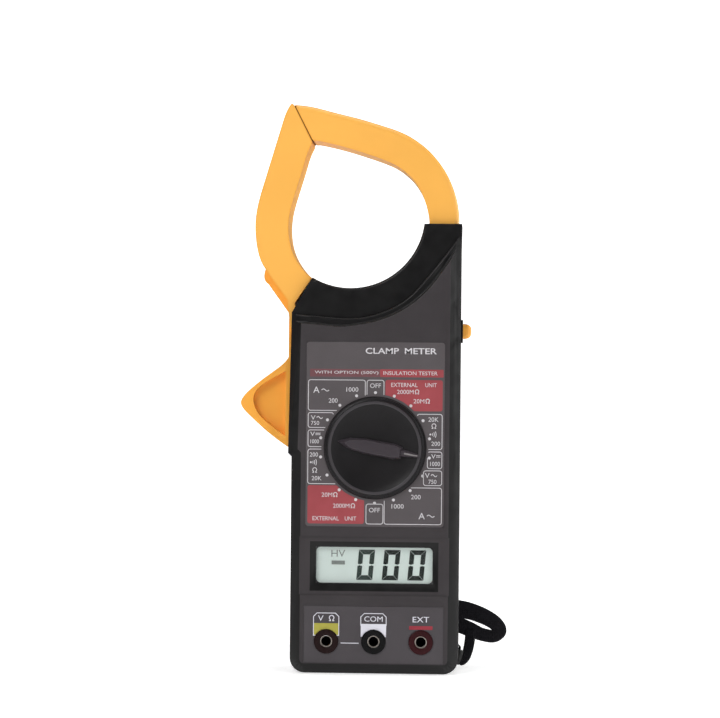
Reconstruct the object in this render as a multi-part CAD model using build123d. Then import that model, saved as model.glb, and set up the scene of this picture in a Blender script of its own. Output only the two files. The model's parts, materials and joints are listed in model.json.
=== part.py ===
from build123d import *
import math
import os

# Hand-held clamp meter: black clam-shell case, yellow current jaws with a
# laminated core, finger trigger on the left side, 18-position selector,
# LCD, three 4 mm test sockets, 9 V battery behind a rear door, wrist strap.
#
# Frame: +Z runs along the instrument (jaws up), the face looks toward -Y,
# +X is to the right when facing it.  Origin: centre of the case's foot, on
# the parting plane between the two half shells.  Millimetres.
# Places given as pairs are (x, z); "half depth" is a distance from y = 0.

os.makedirs("parts", exist_ok=True)

# ---------------------------------------------------------------- dimensions
CASE_HALF_W = 34.0        # half width of the case
CASE_R = 6.0              # foot corner radius
WALL = 2.0
GUARD_X = -35.4           # left side where it guards the trigger
GUARD_TAPER = 1.1         # how much the guard draws in towards the hinge
GUARD_Z0 = 87.3           # foot of that guard
COLLAR_Z = 181.7          # upper edge of the collar around the fixed jaw
RING_C = (-10.8, 185.6)   # centre of the round lower edge of the jaw opening
RING_R = 30.0

Y_FACE = 16.5             # half depth at the grip / face plateau
Y_LEDGE = 14.4            # half depth of the ledge between deck and plateau
Y_RING = 12.3             # half depth at the deck around the jaw opening
Y_IN = 9.8                # half depth of the cavity under the deck
Y_CAV = 14.5              # half depth of the cavity under the plateau
Y_ROOT = Y_CAV + 0.1      # inner bosses and ribs root this deep in the wall
FRONT_CHAMFER = 4.2       # long side chamfers of the face
REAR_CHAMFER = 3.4

JAW_Y = 9.6               # half depth of both jaws
JAW_WALL = 2.35           # wall between core and jaw side
CORE_Y = 6.0              # half depth of the laminated core
CORE_W = 8.4              # width of the core around the opening
CORE_GAP = 0.07           # clearance around the core outline
CORE_BED = (-CORE_Y - 0.06, CORE_Y + 0.06)

PIVOT = (-30.3, 141.0)    # jaw hinge pin
PIN_R = 1.5
PIN_Y = 11.35             # half length of the pin
HUB_R = 5.0
LEVER_Y = 4.5             # half thickness of the trigger blade
SLOT_Y = 5.2              # half width of the trigger slot

KNOB = (0.0, 91.2)
KNOB_R = 20.2
KNOB_TOP = 20.5
KNOB_SHAFT_R = 7.95
KNOB_HOLE_R = 8.03
KNOB_ANGLE = -10.0        # pointer bar direction, degrees from +X
POSITIONS = 18
DETENT_Y = -13.1          # plane of the detent balls
DETENT_ANGLES = (80.0, 260.0)

JACK_Z = 13.2
JACK_PITCH = 19.05
JACK_BORE_R = 2.05        # takes a 4 mm plug
JACKS = [(-JACK_PITCH, JACK_Z), (0.0, JACK_Z), (JACK_PITCH, JACK_Z)]

PCB_Y0, PCB_Y1 = -9.5, -7.9
SEAT_Y = PCB_Y1 + 0.02    # parts on the back of the board start here
BOSSES = [(-28.4, 19.5), (28.4, 19.5), (-28.6, 80.0), (28.6, 116.0), (-7.0, 133.2)]
BOSS_R = 3.0
PCB_POSTS = [(-22.3, 58.8), (22.3, 58.8), (-22.3, 121.5), (22.3, 121.5)]

LCD_Z0, LCD_Z1, LCD_X = 36.5, 51.1, 23.5
LCD_LAP = 1.4             # how far the window reaches behind its opening
GLASS_Z0, GLASS_Z1, GLASS_X = 34.5, 53.1, 24.6
LABEL_Y = -16.2           # floor of the label beds
FACE_LABEL = (27.8, 59.5, 133.7)     # half width, lower z, upper z
JACK_LABEL = (28.0, 4.6, 27.4)

DOOR_X, DOOR_Z0, DOOR_Z1 = 26.0, 32.5, 62.0
TAB_X, TAB_Z1 = 5.2, 69.0            # screw tab at the top of the door
DOOR_SCREW = (0, 65.6)
FIT = 0.1                 # gap around the door, labels, LCD glass and battery studs

BATT_X0, BATT_X1 = -25.0, 20.6
BATT_Z0, BATT_Z1 = 34.0, 60.5
STUD_Y = 5.5
STUDS = [(40.9, 2.9, 22.9), (53.6, 3.9, 22.6)]     # z, radius, x of the end

BUTTON_Z, BUTTON_Y = 138.5, -4.6
BUZZER = (15.0, 80.0)
STRAP_PIN = (30.0, 4.6)
BEAD_Y = 12.2             # depth of the strap bead


# ------------------------------------------------------------------- helpers
def point(place, y=0.0):
    return Vector(place[0], y, place[1])


def lines(*places):
    return [Edge.make_line(point(a), point(b)) for a, b in zip(places, places[1:])]


def spline(places):
    return Edge.make_spline([point(place) for place in places])


def arc(start, middle, end):
    return Edge.make_three_point_arc(point(start), point(middle), point(end))


def polar(radius, degrees, centre=RING_C):
    angle = math.radians(degrees)
    return (centre[0] + radius * math.cos(angle), centre[1] + radius * math.sin(angle))


def polygon(places, y):
    return Wire.make_polygon([point(place, y) for place in places], close=True)


def prism(outline, y0, y1):
    """Closed XZ outline, given as points or as edges, extruded from y0 to y1."""
    if isinstance(outline[0], tuple):
        wire = polygon(outline, y0)
    else:
        wire = Wire([edge.moved(Location((0, y0, 0))) for edge in outline])
    return Solid.extrude(Face(wire), Vector(0, y1 - y0, 0))


def box(x0, x1, y0, y1, z0, z1):
    return Solid.make_box(x1 - x0, y1 - y0, z1 - z0, Plane(origin=(x0, y0, z0)))


def mid_box(half_x, y0, y1, z0, z1):
    """Box symmetric about x = 0."""
    return box(-half_x, half_x, y0, y1, z0, z1)


def box_at(centre, half_x, half_z, y0, y1):
    x, z = centre
    return box(x - half_x, x + half_x, y0, y1, z - half_z, z + half_z)


def button_box(x0, x1, half_y, half_z):
    """Box centred on the axis of the hold button."""
    return box(x0, x1, BUTTON_Y - half_y, BUTTON_Y + half_y,
               BUTTON_Z - half_z, BUTTON_Z + half_z)


def cyl_y(centre, radius, y0, y1):
    plane = Plane(origin=(centre[0], y0, centre[1]), x_dir=(1, 0, 0), z_dir=(0, 1, 0))
    return Solid.make_cylinder(radius, y1 - y0, plane)


def cyl_x(y, z, radius, x0, x1):
    plane = Plane(origin=(x0, y, z), x_dir=(0, 1, 0), z_dir=(1, 0, 0))
    return Solid.make_cylinder(radius, x1 - x0, plane)


def cyl_z(x, y, radius, z0, z1):
    return Solid.make_cylinder(radius, z1 - z0, Plane(origin=(x, y, z0), z_dir=(0, 0, 1)))


def tube_y(centre, outer_r, inner_r, y0, y1):
    return cyl_y(centre, outer_r, y0, y1) - cyl_y(centre, inner_r, y0 - 1, y1 + 1)


def band(inner_r, outer_r, start, end, y0, y1):
    """Sector of a flat ring about RING_C between two angles, start < end."""
    middle = (start + end) / 2
    return prism([arc(polar(outer_r, start), polar(outer_r, middle), polar(outer_r, end)),
                  *lines(polar(outer_r, end), polar(inner_r, end)),
                  arc(polar(inner_r, end), polar(inner_r, middle), polar(inner_r, start)),
                  *lines(polar(inner_r, start), polar(outer_r, start))], y0, y1)


def rod(points, radius):
    """Round rod along a smooth path through (x, y, z) points."""
    path = Edge.make_spline([Vector(*xyz) for xyz in points])
    profile = Face(Wire.make_circle(radius, Plane(origin=path @ 0, z_dir=path % 0)))
    return Solid.sweep(profile, Wire([path]))


def offset_points(points, distance):
    """Points moved by distance to the left of the travel direction."""
    moved = []
    last = len(points) - 1
    for i, (x, z) in enumerate(points):
        before = points[max(i - 1, 0)]
        after = points[min(i + 1, last)]
        run_x, run_z = after[0] - before[0], after[1] - before[1]
        length = math.hypot(run_x, run_z)
        moved.append((x - run_z / length * distance, z + run_x / length * distance))
    return moved


def one(shape):
    """The largest solid of a shape."""
    return max(shape.solids(), key=lambda solid: solid.volume)


def on_y(edge, y, tolerance=1e-3):
    return abs(edge.center().Y - y) < tolerance


def is_long(edge, length, tolerance=1e-3):
    return abs(edge.length - length) < tolerance


def try_fillet(shape, edges, radius):
    """Fillet at the full radius, else a smaller one, else leave the edges sharp."""
    for factor in (1.0, 0.7, 0.4):
        # guards against a radius the kernel cannot roll round these edges
        try:
            rounded = shape.fillet(radius * factor, edges)
            if rounded.is_valid:
                return rounded
        except Exception:
            pass
    return shape


def save(name, *shapes):
    solids = [solid for shape in shapes for solid in shape.solids()]
    piece = solids[0] if len(solids) == 1 else Compound(children=solids)
    piece.label = name
    export_step(piece, f"parts/{name}.step")


# ================================================================ CASE SHELLS
# Lower edges of the ledge and of the deck, left to right (x, z)
LEDGE_EDGE = [
    (-37, 141.8), (-30, 141.3), (-22.9, 140.9), (-14, 140.2), (-6.5, 141.1), (3.4, 143.6),
    (13.3, 148.8), (20.8, 155.4), (25.8, 161.8), (29.8, 167.6), (36.5, 177.0)]
DECK_EDGE = [
    (-37, 145.2), (-30, 144.6), (-21.6, 143.9), (-6.4, 143.6), (3.4, 146.3), (13.2, 152.1),
    (19.8, 159.3), (25.8, 166.6), (30.5, 172.8), (36.5, 180.6)]
# Upper edge of the deep cavity, left to right (x, z)
CAVITY_EDGE = [
    (-31.5, 138.6), (-14, 137.6), (-6.5, 138.5), (3.0, 141.0), (12.4, 146.0),
    (19.6, 152.6), (24.0, 158.0)]


def case_outline(inset=0.0):
    """Outline of the case, shrunk by inset."""
    corner = CASE_R - inset
    bulge = corner * (1 - math.cos(math.pi / 4))    # corner to arc middle, per axis
    right, left, guard = CASE_HALF_W - inset, -CASE_HALF_W + inset, GUARD_X + inset
    ring_r = RING_R + inset
    collar_z = COLLAR_Z - inset
    collar_end = (RING_C[0] + math.sqrt(ring_r**2 - (collar_z - RING_C[1])**2), collar_z)
    ring_end = polar(ring_r, -120.6)
    return [
        *lines((left + corner, inset), (right - corner, inset)),
        arc((right - corner, inset), (right - bulge, inset + bulge), (right, inset + corner)),
        *lines((right, inset + corner), (right, 172.0), (34.2 - inset, collar_z), collar_end),
        arc(collar_end, polar(ring_r, -65), ring_end),
        *lines(ring_end, (guard + GUARD_TAPER, 145.6 - inset), (guard, GUARD_Z0 + 1.4 + inset),
               (left, GUARD_Z0 + inset), (left, inset + corner)),
        arc((left, inset + corner), (left + bulge, inset + bulge), (left + corner, inset))]


def above(curve, y0, y1):
    """Everything above a curve that runs from left to right."""
    return prism([spline(curve), *lines(curve[-1], (45, 200), (-45, 200), curve[0])], y0, y1)


def half_case(sign):
    """Hollow blank of one half shell; sign -1 is the face half, +1 the back."""
    def depths(inner, outer):
        return (inner, outer) if sign > 0 else (-outer, -inner)

    shell = prism(case_outline(), *depths(0, Y_FACE))
    edges = []
    for edge in shell.edges():
        centre = edge.center()
        at_side_or_foot = abs(centre.X) > 31.0 or centre.Z < 3.0
        if on_y(edge, sign * Y_FACE, 1e-4) and centre.Z < 170.0 and at_side_or_foot:
            edges.append(edge)
    # guards against the chamfer failing; the edges then stay square
    try:
        shell = shell.chamfer(FRONT_CHAMFER if sign < 0 else REAR_CHAMFER, None, edges)
    except Exception:
        pass
    shell -= above(LEDGE_EDGE, *depths(Y_LEDGE, Y_FACE + 1))
    shell -= above(DECK_EDGE, *depths(Y_RING, Y_FACE + 1))
    shell = one(shell)
    # soften the rim of the round opening, then the two steps of the deck
    rim = [edge for edge in shell.edges()
           if on_y(edge, sign * Y_RING, 1e-4) and edge.geom_type == GeomType.CIRCLE
           and edge.center().Z > 140.0]
    shell = try_fillet(shell, rim, 1.2)
    steps = [edge for edge in shell.edges()
             if (on_y(edge, sign * Y_FACE, 1e-4) or on_y(edge, sign * Y_LEDGE, 1e-4))
             and edge.geom_type == GeomType.BSPLINE and 138 < edge.center().Z < 172]
    shell = try_fillet(shell, steps, 0.7)
    # full-outline cavity, deep cavity in the grip, and its curved upper end
    shell -= prism(case_outline(WALL), *depths(-1, Y_IN))
    shell -= prism([(-29, 2.4), (29, 2.4), (29, 138.0), (-31.5, 138.0), (-31.5, 89.5),
                    (-29, 89.5)], *depths(Y_IN - 0.5, Y_CAV))
    shell -= prism([spline(CAVITY_EDGE),
                    *lines(CAVITY_EDGE[-1], (29.0, 158.0), (29.0, 120.0), (-31.5, 120.0),
                           CAVITY_EDGE[0])], *depths(Y_IN - 0.5, Y_LEDGE - WALL))
    # socket for the tail of the fixed jaw
    shell -= box(20.8, 33.05, *depths(-1, Y_IN), 168.0, 185.0)
    # trigger slot and hinge opening on the left
    shell -= box(-40, -31.0, *depths(-1, SLOT_Y), 89.3, 150.0)
    shell -= prism([(-40, 133.0), (-30, 133.0), (-24.0, 150.0), (-25.6, 156.2),
                    (-26.1, 162.0), (-40, 162.0)], *depths(-1, Y_IN))
    return one(shell)


def label_plate(label, y0, gap=0.0):
    half_x, z0, z1 = label
    return mid_box(half_x + gap, y0, LABEL_Y, z0 - gap, z1 + gap)


def button_opening():
    return button_box(30.0, 36.0, 3.9, 4.3)


def front_shell():
    shell = half_case(-1)
    # bosses that take the case screws, posts that carry the circuit board
    for boss in BOSSES:
        shell = shell + cyl_y(boss, BOSS_R, -Y_ROOT, -0.02)
        shell -= cyl_y(boss, 1.15, -11.5, 0.1)
    for post in PCB_POSTS:
        shell = shell + cyl_y(post, 2.2, -Y_ROOT, PCB_Y0)
        shell -= cyl_y(post, 0.8, -13.4, PCB_Y0 + 0.1)
    # ribs that brace the face between the sockets
    for x in (-10.0, 9.0):
        shell = shell + box(x, x + 1.0, -Y_ROOT, -11.0, 3.0, 26.0)
    # notched detent wall for the selector on the inner face
    detent_wall = tube_y(KNOB, 18.4, 16.4, -Y_ROOT, -11.4)
    for i in range(POSITIONS):
        notch = polar(16.5, 360 / POSITIONS * i + 10, KNOB)
        detent_wall -= cyl_y(notch, 0.9, -14.4, -11.0)
    shell = shell + detent_wall
    shell -= cyl_y(KNOB, KNOB_HOLE_R, -17.5, -13.5)
    # display window: shallow bed, sloping bezel, then the clear opening
    outer = [(-26.7, 32.4), (26.7, 32.4), (26.7, 54.2), (-26.7, 54.2)]
    inner = [(-LCD_X, LCD_Z0), (LCD_X, LCD_Z0), (LCD_X, LCD_Z1), (-LCD_X, LCD_Z1)]
    bezel = Solid.make_loft([polygon(outer, -16.6), polygon(inner, -14.9)])
    shell -= mid_box(30.4, -17.0, -16.15, 31.9, 55.3)
    shell -= bezel
    shell -= mid_box(LCD_X, -15.2, -13.5, LCD_Z0, LCD_Z1)
    # shallow beds for the two printed labels
    for label in (FACE_LABEL, JACK_LABEL):
        shell -= label_plate(label, -17.0, FIT)
    for jack in JACKS:
        shell -= cyl_y(jack, 4.95, -17.5, -13.5)
    shell -= button_opening()
    # seat of the hinge pin
    shell = shell + cyl_y(PIVOT, 3.0, -11.5, -Y_IN)
    shell -= cyl_y(PIVOT, PIN_R + 0.02, -PIN_Y - 0.05, 0)
    return one(shell)


def rear_shell():
    shell = half_case(1)
    # screw bosses: clearance hole and sunk head
    for boss in BOSSES:
        shell = shell + cyl_y(boss, BOSS_R, 0.02, Y_ROOT)
        shell -= cyl_y(boss, 1.6, -0.1, 20.0)
        shell -= cyl_y(boss, 2.9, Y_ROOT - 4.6, 20.0)
    # door opening with its screw tab, then the four walls of the battery well
    shell -= mid_box(DOOR_X, 13.0, 18.0, DOOR_Z0, DOOR_Z1)
    shell -= mid_box(TAB_X, 14.5, 18.0, DOOR_Z1 - 0.5, TAB_Z1)
    for x0, x1, z0, z1 in ((-27.6, 27.6, 30.9, 32.4), (-27.6, 27.6, 62.1, 63.4),
                           (-27.6, -26.1, 31.0, 63.0), (26.1, 27.6, 31.0, 63.0)):
        shell = shell + box(x0, x1, 1.0, 14.55, z0, z1)
    shell -= box(25.0, 28.5, -1.0, 6.0, 50.5, 56.5)     # passage for the battery leads
    shell = shell + cyl_y(DOOR_SCREW, 2.6, 6.0, 14.55)
    shell -= cyl_y(DOOR_SCREW, 0.95, 7.0, 15.0)
    # sound slots over the buzzer
    for i in range(5):
        z = 74.0 + 2.6 * i
        shell -= box(8.0, 22.0, 13.0, 18.0, z, z + 1.2)
    # lower right corner: solid block with a notch and a pin for the wrist strap
    shell = shell + box(24.6, 32.6, 8.9, 14.6, 1.0, 12.2)
    shell -= prism([(26.4, -1.0), (36.0, -1.0), (36.0, 10.6), (31.0, 10.6), (26.7, 8.6)],
                   10.4, 14.0)
    shell -= cyl_y(STRAP_PIN, 1.02, 9.2, 15.6)
    # seat of the hinge pin
    shell = shell + cyl_y(PIVOT, 3.0, Y_IN, 11.5)
    shell -= cyl_y(PIVOT, PIN_R + 0.02, 0, PIN_Y + 0.05)
    shell -= button_opening()
    return one(shell)


save("front_shell", front_shell())
save("rear_shell", rear_shell())


# ================================================================ REAR DOOR
def battery_door():
    door = mid_box(DOOR_X - FIT, 14.6, Y_FACE, DOOR_Z0 + FIT, DOOR_Z1 - FIT)
    door = door + mid_box(TAB_X - FIT, 14.6, Y_FACE, DOOR_Z1 - 0.2, TAB_Z1 - FIT)
    door -= cyl_y(DOOR_SCREW, 1.25, 14.0, 17.0)
    door -= cyl_y(DOOR_SCREW, 2.3, 15.5, 17.0)
    for i in range(5):                                  # finger grooves
        z = 36.0 + 2.2 * i
        door -= mid_box(9.0, 16.1, 17.0, z, z + 1.0)
    return one(door)


def cross_screw(head, shank, half_length, half_width, slot_depths):
    """Screw from its head and shank, with two crossed slots."""
    (centre, _, _, _) = head
    screw = cyl_y(*head) + cyl_y(*shank)
    screw -= box_at(centre, half_length, half_width, *slot_depths)
    screw -= box_at(centre, half_width, half_length, *slot_depths)
    return one(screw)


save("battery_door", battery_door())
save("battery_door_screw",
     cross_screw((DOOR_SCREW, 2.15, 15.5, 16.45), (DOOR_SCREW, 0.9, 7.6, 15.6),
                 1.7, 0.3, (16.05, 17.0)))
save("case_screws",
     *[cross_screw((boss, 2.6, 10.0, 11.8), (boss, 1.1, -10.6, 10.1),
                   1.8, 0.35, (11.1, 12.5)) for boss in BOSSES])

# ================================================================ FACE PARTS
LABEL_TOP = LABEL_Y - 0.35

face_label = one(label_plate(FACE_LABEL, LABEL_TOP) - cyl_y(KNOB, 20.7, -18, -15))
corners = [edge for edge in face_label.edges()
           if abs(abs(edge.center().X) - FACE_LABEL[0]) < 1e-3 and is_long(edge, 0.35)]
save("face_label", try_fillet(face_label, corners, 1.2))

jack_label = label_plate(JACK_LABEL, LABEL_TOP)
for jack in JACKS:
    jack_label -= cyl_y(jack, 4.97, -18, -15)
save("jack_label", one(jack_label))

save("lcd_window", mid_box(LCD_X + LCD_LAP, -14.45, -13.35, LCD_Z0 - LCD_LAP, LCD_Z1 + LCD_LAP))
save("lcd_frame", one(mid_box(26.4, -13.3, -9.6, 32.9, 54.7)
                      - mid_box(GLASS_X + FIT, -14, -9, GLASS_Z0 - FIT, GLASS_Z1 + FIT)))
save("lcd_glass", mid_box(GLASS_X, -13.2, -10.6, GLASS_Z0, GLASS_Z1))
save("zebra_strips", *[mid_box(23.0, -10.55, -9.55, z, z + 1.8) for z in (34.8, 51.0)])


# ================================================================ CIRCUIT BOARD
def main_pcb():
    board = mid_box(25.0, PCB_Y0, PCB_Y1, 4.0, 128.5)
    board = board + box(14.0, 25.0, PCB_Y0, PCB_Y1, 128.0, 143.0)
    holes = [(post, 0.95) for post in PCB_POSTS] + [(jack, 3.08) for jack in JACKS]
    holes.append((BOSSES[2], 3.3))
    for centre, radius in holes:
        board -= cyl_y(centre, radius, PCB_Y0 - 1, PCB_Y1 + 1)
    return one(board)


def pcb_screw(post):
    screw = cyl_y(post, 1.7, SEAT_Y, PCB_Y1 + 1.2) + cyl_y(post, 0.75, -13.2, PCB_Y1 + 0.1)
    return one(screw - box_at(post, 1.2, 0.25, PCB_Y1 + 0.7, -6))


def ic_pins():
    """Eleven pins on each of the four sides of the 14 mm square package."""
    top = SEAT_Y + 0.9
    pins = []
    for i in range(11):
        z = 69.5 + 1.1 * i
        x = -5.5 + 1.1 * i
        pins += [box(-8.4, -7.02, SEAT_Y, top, z - 0.2, z + 0.2),
                 box(7.02, 8.4, SEAT_Y, top, z - 0.2, z + 0.2),
                 box(x - 0.2, x + 0.2, SEAT_Y, top, 66.6, 67.98),
                 box(x - 0.2, x + 0.2, SEAT_Y, top, 82.02, 83.4)]
    return pins


def resistor(x, z):
    """Axial resistor lying along Z; z is its lower lead end."""
    axis_y = SEAT_Y + 1.3
    return one(cyl_z(x, axis_y, 1.2, z + 2.5, z + 9.0)
               + cyl_z(x, axis_y, 0.3, z, z + 11.5)
               + box(x - 0.3, x + 0.3, SEAT_Y, axis_y, z, z + 0.6)
               + box(x - 0.3, x + 0.3, SEAT_Y, axis_y, z + 10.9, z + 11.5))


save("main_pcb", main_pcb())
save("pcb_screws", *[pcb_screw(post) for post in PCB_POSTS])
save("converter_ic", box(-7.0, 7.0, SEAT_Y + 0.3, SEAT_Y + 2.3, 68.0, 82.0), *ic_pins())
save("range_resistors",
     *[resistor(-21.0 + 3.6 * i, 101.5) for i in range(5)],
     *[resistor(12.0 + 3.8 * i, 89.5) for i in range(3)])
save("film_capacitors",
     box(-22.0, -15.0, SEAT_Y, SEAT_Y + 7.0, 62.0, 65.0),
     box(14.5, 21.5, SEAT_Y, SEAT_Y + 7.0, 62.5, 65.5),
     box(-22.0, -19.0, SEAT_Y, SEAT_Y + 6.0, 70.0, 77.0))

CAN = (18.5, 75.0)
save("electrolytic_cap", one(cyl_y(CAN, 3.1, SEAT_Y, SEAT_Y + 8.0)
                             - tube_y(CAN, 3.3, 2.9, SEAT_Y + 6.6, SEAT_Y + 7.0)))

TRIMMER = (14.0, 86.0)
save("trimmer_pot", one(box_at(TRIMMER, 2.0, 2.0, SEAT_Y, SEAT_Y + 2.4)
                        + cyl_y(TRIMMER, 1.6, SEAT_Y + 2.3, SEAT_Y + 3.0)
                        - box_at(TRIMMER, 1.4, 0.2, SEAT_Y + 2.6, SEAT_Y + 4)))

save("ptc_thermistor", one(cyl_x(SEAT_Y + 4.2, 27.5, 3.6, -23.5, -20.9)
                           + box(-22.5, -21.9, SEAT_Y, SEAT_Y + 1.5, 25.4, 26.0)
                           + box(-22.5, -21.9, SEAT_Y, SEAT_Y + 1.5, 29.0, 29.6)))
save("piezo_buzzer", one(cyl_y(BUZZER, 6.8, 9.2, 14.45) - cyl_y(BUZZER, 1.1, 12.0, 15.0)))

# ================================================================ SOCKETS
SLEEVE_R = 3.0
SOCKET_FRONT = -17.2


def jack_sleeve(jack):
    """Blind metal sleeve with a ring that rests on the back of the board."""
    sleeve = cyl_y(jack, SLEEVE_R, -15.6, 3.6) - cyl_y(jack, JACK_BORE_R, -16.5, 2.6)
    ring = cyl_y(jack, 3.8, SEAT_Y, PCB_Y1 + 0.8) - cyl_y(jack, 2.9, -9, -6)
    return one(sleeve + ring)


def jack_collar(jack):
    collar = cyl_y(jack, 4.9, SOCKET_FRONT, -9.6)
    collar -= cyl_y(jack, SLEEVE_R + 0.05, -15.65, -9.0)
    collar -= cyl_y(jack, 2.45, -18.0, -15.0)
    lip = [edge for edge in collar.edges()
           if on_y(edge, SOCKET_FRONT) and edge.geom_type == GeomType.CIRCLE]
    return try_fillet(one(collar), lip, 0.4)


for jack, jack_name in zip(JACKS, ("v_ohm", "com", "ext")):
    save("jack_sleeve_" + jack_name, jack_sleeve(jack))
    save("jack_collar_" + jack_name, jack_collar(jack))


# ================================================================ BATTERY
def battery():
    body = box(BATT_X0, BATT_X1, -3.2, 14.3, BATT_Z0, BATT_Z1)
    long_edges = [edge for edge in body.edges() if is_long(edge, BATT_X1 - BATT_X0)]
    body = try_fillet(body, long_edges, 1.5)
    for z, radius, end_x in STUDS:
        body = body + cyl_x(STUD_Y, z, radius, BATT_X1 - 0.1, end_x)
    return one(body)


def battery_snap():
    snap = box(21.0, 24.2, -1.2, 12.2, 35.6, 58.9)
    snap = try_fillet(snap, [edge for edge in snap.edges() if is_long(edge, 3.2)], 2.5)
    for z, radius, end_x in STUDS:
        snap -= cyl_x(STUD_Y, z, radius + FIT, 20.0, end_x + FIT)
    return one(snap)


# Lead paths from the snap to the board (x, y, z)
RED_LEAD = [
    (24.6, 0.6, 55.0), (26.6, 0.4, 54.6), (27.9, -1.6, 57.0),
    (26.6, -4.0, 62.5), (24.0, -5.6, 67.0), (23.2, -7.2, 68.4)]
BLACK_LEAD = [
    (24.6, 2.6, 52.2), (26.8, 2.2, 51.9), (29.4, -0.8, 56.0),
    (28.6, -3.8, 65.0), (25.0, -5.2, 71.5), (23.2, -7.2, 73.2)]

save("battery_9v", battery())
save("battery_snap", battery_snap())
save("battery_lead_red", rod(RED_LEAD, 0.6))
save("battery_lead_black", rod(BLACK_LEAD, 0.6))

# ================================================================ JAWS
# Jaw sides (x, z), each running from the tip down to the case
FIXED_OUTER = [
    (-34.1, 229.9), (-27.4, 229.2), (-17.6, 226.8), (-7.5, 224.3), (0.6, 221.9), (7.9, 219.5),
    (12.8, 217.2), (16.4, 214.9), (19.7, 212.3), (22.3, 209.7), (24.5, 207.1), (26.3, 204.6),
    (27.9, 202.0), (30.1, 197.4), (31.7, 192.7), (32.7, 187.8), (32.9, 183.0)]
FIXED_INNER = [
    (-25.0, 215.3), (-20.0, 214.3), (-12.4, 212.4), (-4.3, 209.9), (3.4, 207.2), (8.3, 204.8),
    (11.6, 202.3), (14.1, 199.9), (16.0, 197.4), (17.5, 194.9), (18.6, 192.4), (19.4, 190.0),
    (20.3, 186.6), (20.9, 183.0)]
MOVING_OUTER = [
    (-35.6, 230.0), (-37.2, 227.3), (-39.1, 221.9), (-42.8, 209.7), (-46.4, 197.6),
    (-48.6, 189.5), (-49.6, 182.5), (-49.5, 176.8), (-48.7, 171.0), (-47.2, 166.2),
    (-45.0, 162.6)]
MOVING_INNER = [
    (-27.2, 213.6), (-28.9, 209.7), (-30.3, 204.9), (-31.9, 199.6), (-34.0, 192.7),
    (-35.5, 187.0), (-36.2, 180.5), (-35.9, 175.7), (-34.6, 170.4), (-32.4, 166.0),
    (-30.4, 163.2), (-28.4, 161.0), (-26.6, 159.5)]
# Inner side of the core below the opening: radius about RING_C, degrees
CORE_RING = [(34.9, -14), (34.7, -22), (34.5, -30), (34.3, -40), (34.3, -50), (34.3, -60),
             (34.3, -75), (34.3, -90), (34.3, -105), (34.3, -118.6)]
HUB_TOP = polar(HUB_R, 60, PIVOT)      # where the hub meets the neck
NECK = (-33.0, 147.0)
SPRING_R = 2.75
SPRING_END = polar(SPRING_R, 210, PIVOT)
SPRING_LEG_ANGLE = 300


def strip(outer, inner):
    """Closed outline between two side curves that run the same way."""
    return [spline(outer), *lines(outer[-1], inner[-1]),
            spline(list(reversed(inner))), *lines(inner[0], outer[0])]


def fixed_core_outline(gap=0.0):
    """C-shaped core: inside the fixed jaw, then round the foot of the opening."""
    outer = offset_points(FIXED_OUTER[1:], -JAW_WALL)
    inner = offset_points(FIXED_INNER, JAW_WALL)
    outer = [(-32.4, 227.1)] + [place for place in outer if place[0] > -28.5]
    inner = [(-27.3, 217.0)] + [place for place in inner if place[0] > -24.0]
    outer_ring = [(30.6, 183.0)] + [polar(radius + CORE_W, angle) for radius, angle in CORE_RING]
    inner_ring = [(23.2, 183.0)] + [polar(radius, angle) for radius, angle in CORE_RING]
    return strip(offset_points(outer[:-1] + outer_ring, gap),
                 offset_points(inner[:-1] + inner_ring, -gap))


def moving_core_outline(gap=0.0):
    outer = offset_points(MOVING_OUTER, JAW_WALL)[1:-1]
    inner = offset_points(MOVING_INNER, -JAW_WALL)[:-2]
    outer = [(-33.6, 227.5)] + [place for place in outer if place[1] < 222.0]
    inner = [(-28.3, 216.9)] + [place for place in inner if 165.0 < place[1] < 212.0]
    outer += [(-40.9, 162.4), (-36.6, 155.9), (-33.6, 151.6)]
    inner += [(-33.7, 163.9), (-31.1, 159.9), (-29.4, 157.3)]
    return strip(offset_points(outer, -gap), offset_points(inner, gap))


def fixed_jaw_outline():
    seam = (-26.95, 216.0)
    return [spline(FIXED_OUTER),
            *lines(FIXED_OUTER[-1], (32.9, 170.5), (20.98, 170.5), FIXED_INNER[-1]),
            spline(list(reversed(FIXED_INNER))),
            spline([FIXED_INNER[0], (-26.2, 215.3), seam]),
            *lines(seam, FIXED_OUTER[0])]


def moving_jaw_outline():
    """Outer curve, step along the trigger, hub, neck, inner curve, tip seam."""
    hub_left = (PIVOT[0] - HUB_R, PIVOT[1])
    seam_foot, seam_top = (-27.35, 215.8), (-34.35, 229.6)
    return [spline(MOVING_OUTER),
            *lines(MOVING_OUTER[-1], (-43.7, 160.6), (-36.3, 150.7), (-35.9, 145.6), hub_left),
            arc(hub_left, (PIVOT[0], PIVOT[1] - HUB_R), HUB_TOP),
            *lines(HUB_TOP, NECK, (-33.4, 149.4), MOVING_INNER[-1]),
            spline(list(reversed(MOVING_INNER))),
            spline([MOVING_INNER[0], (-26.95, 214.7), seam_foot]),
            *lines(seam_foot, seam_top),
            spline([seam_top, (-34.9, 230.15), MOVING_OUTER[0]])]


def is_jaw_side(edge):
    """Long curved edge where a side meets the front or rear flat."""
    return (abs(abs(edge.center().Y) - JAW_Y) < 0.02
            and edge.geom_type == GeomType.BSPLINE and edge.length > 20)


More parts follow.
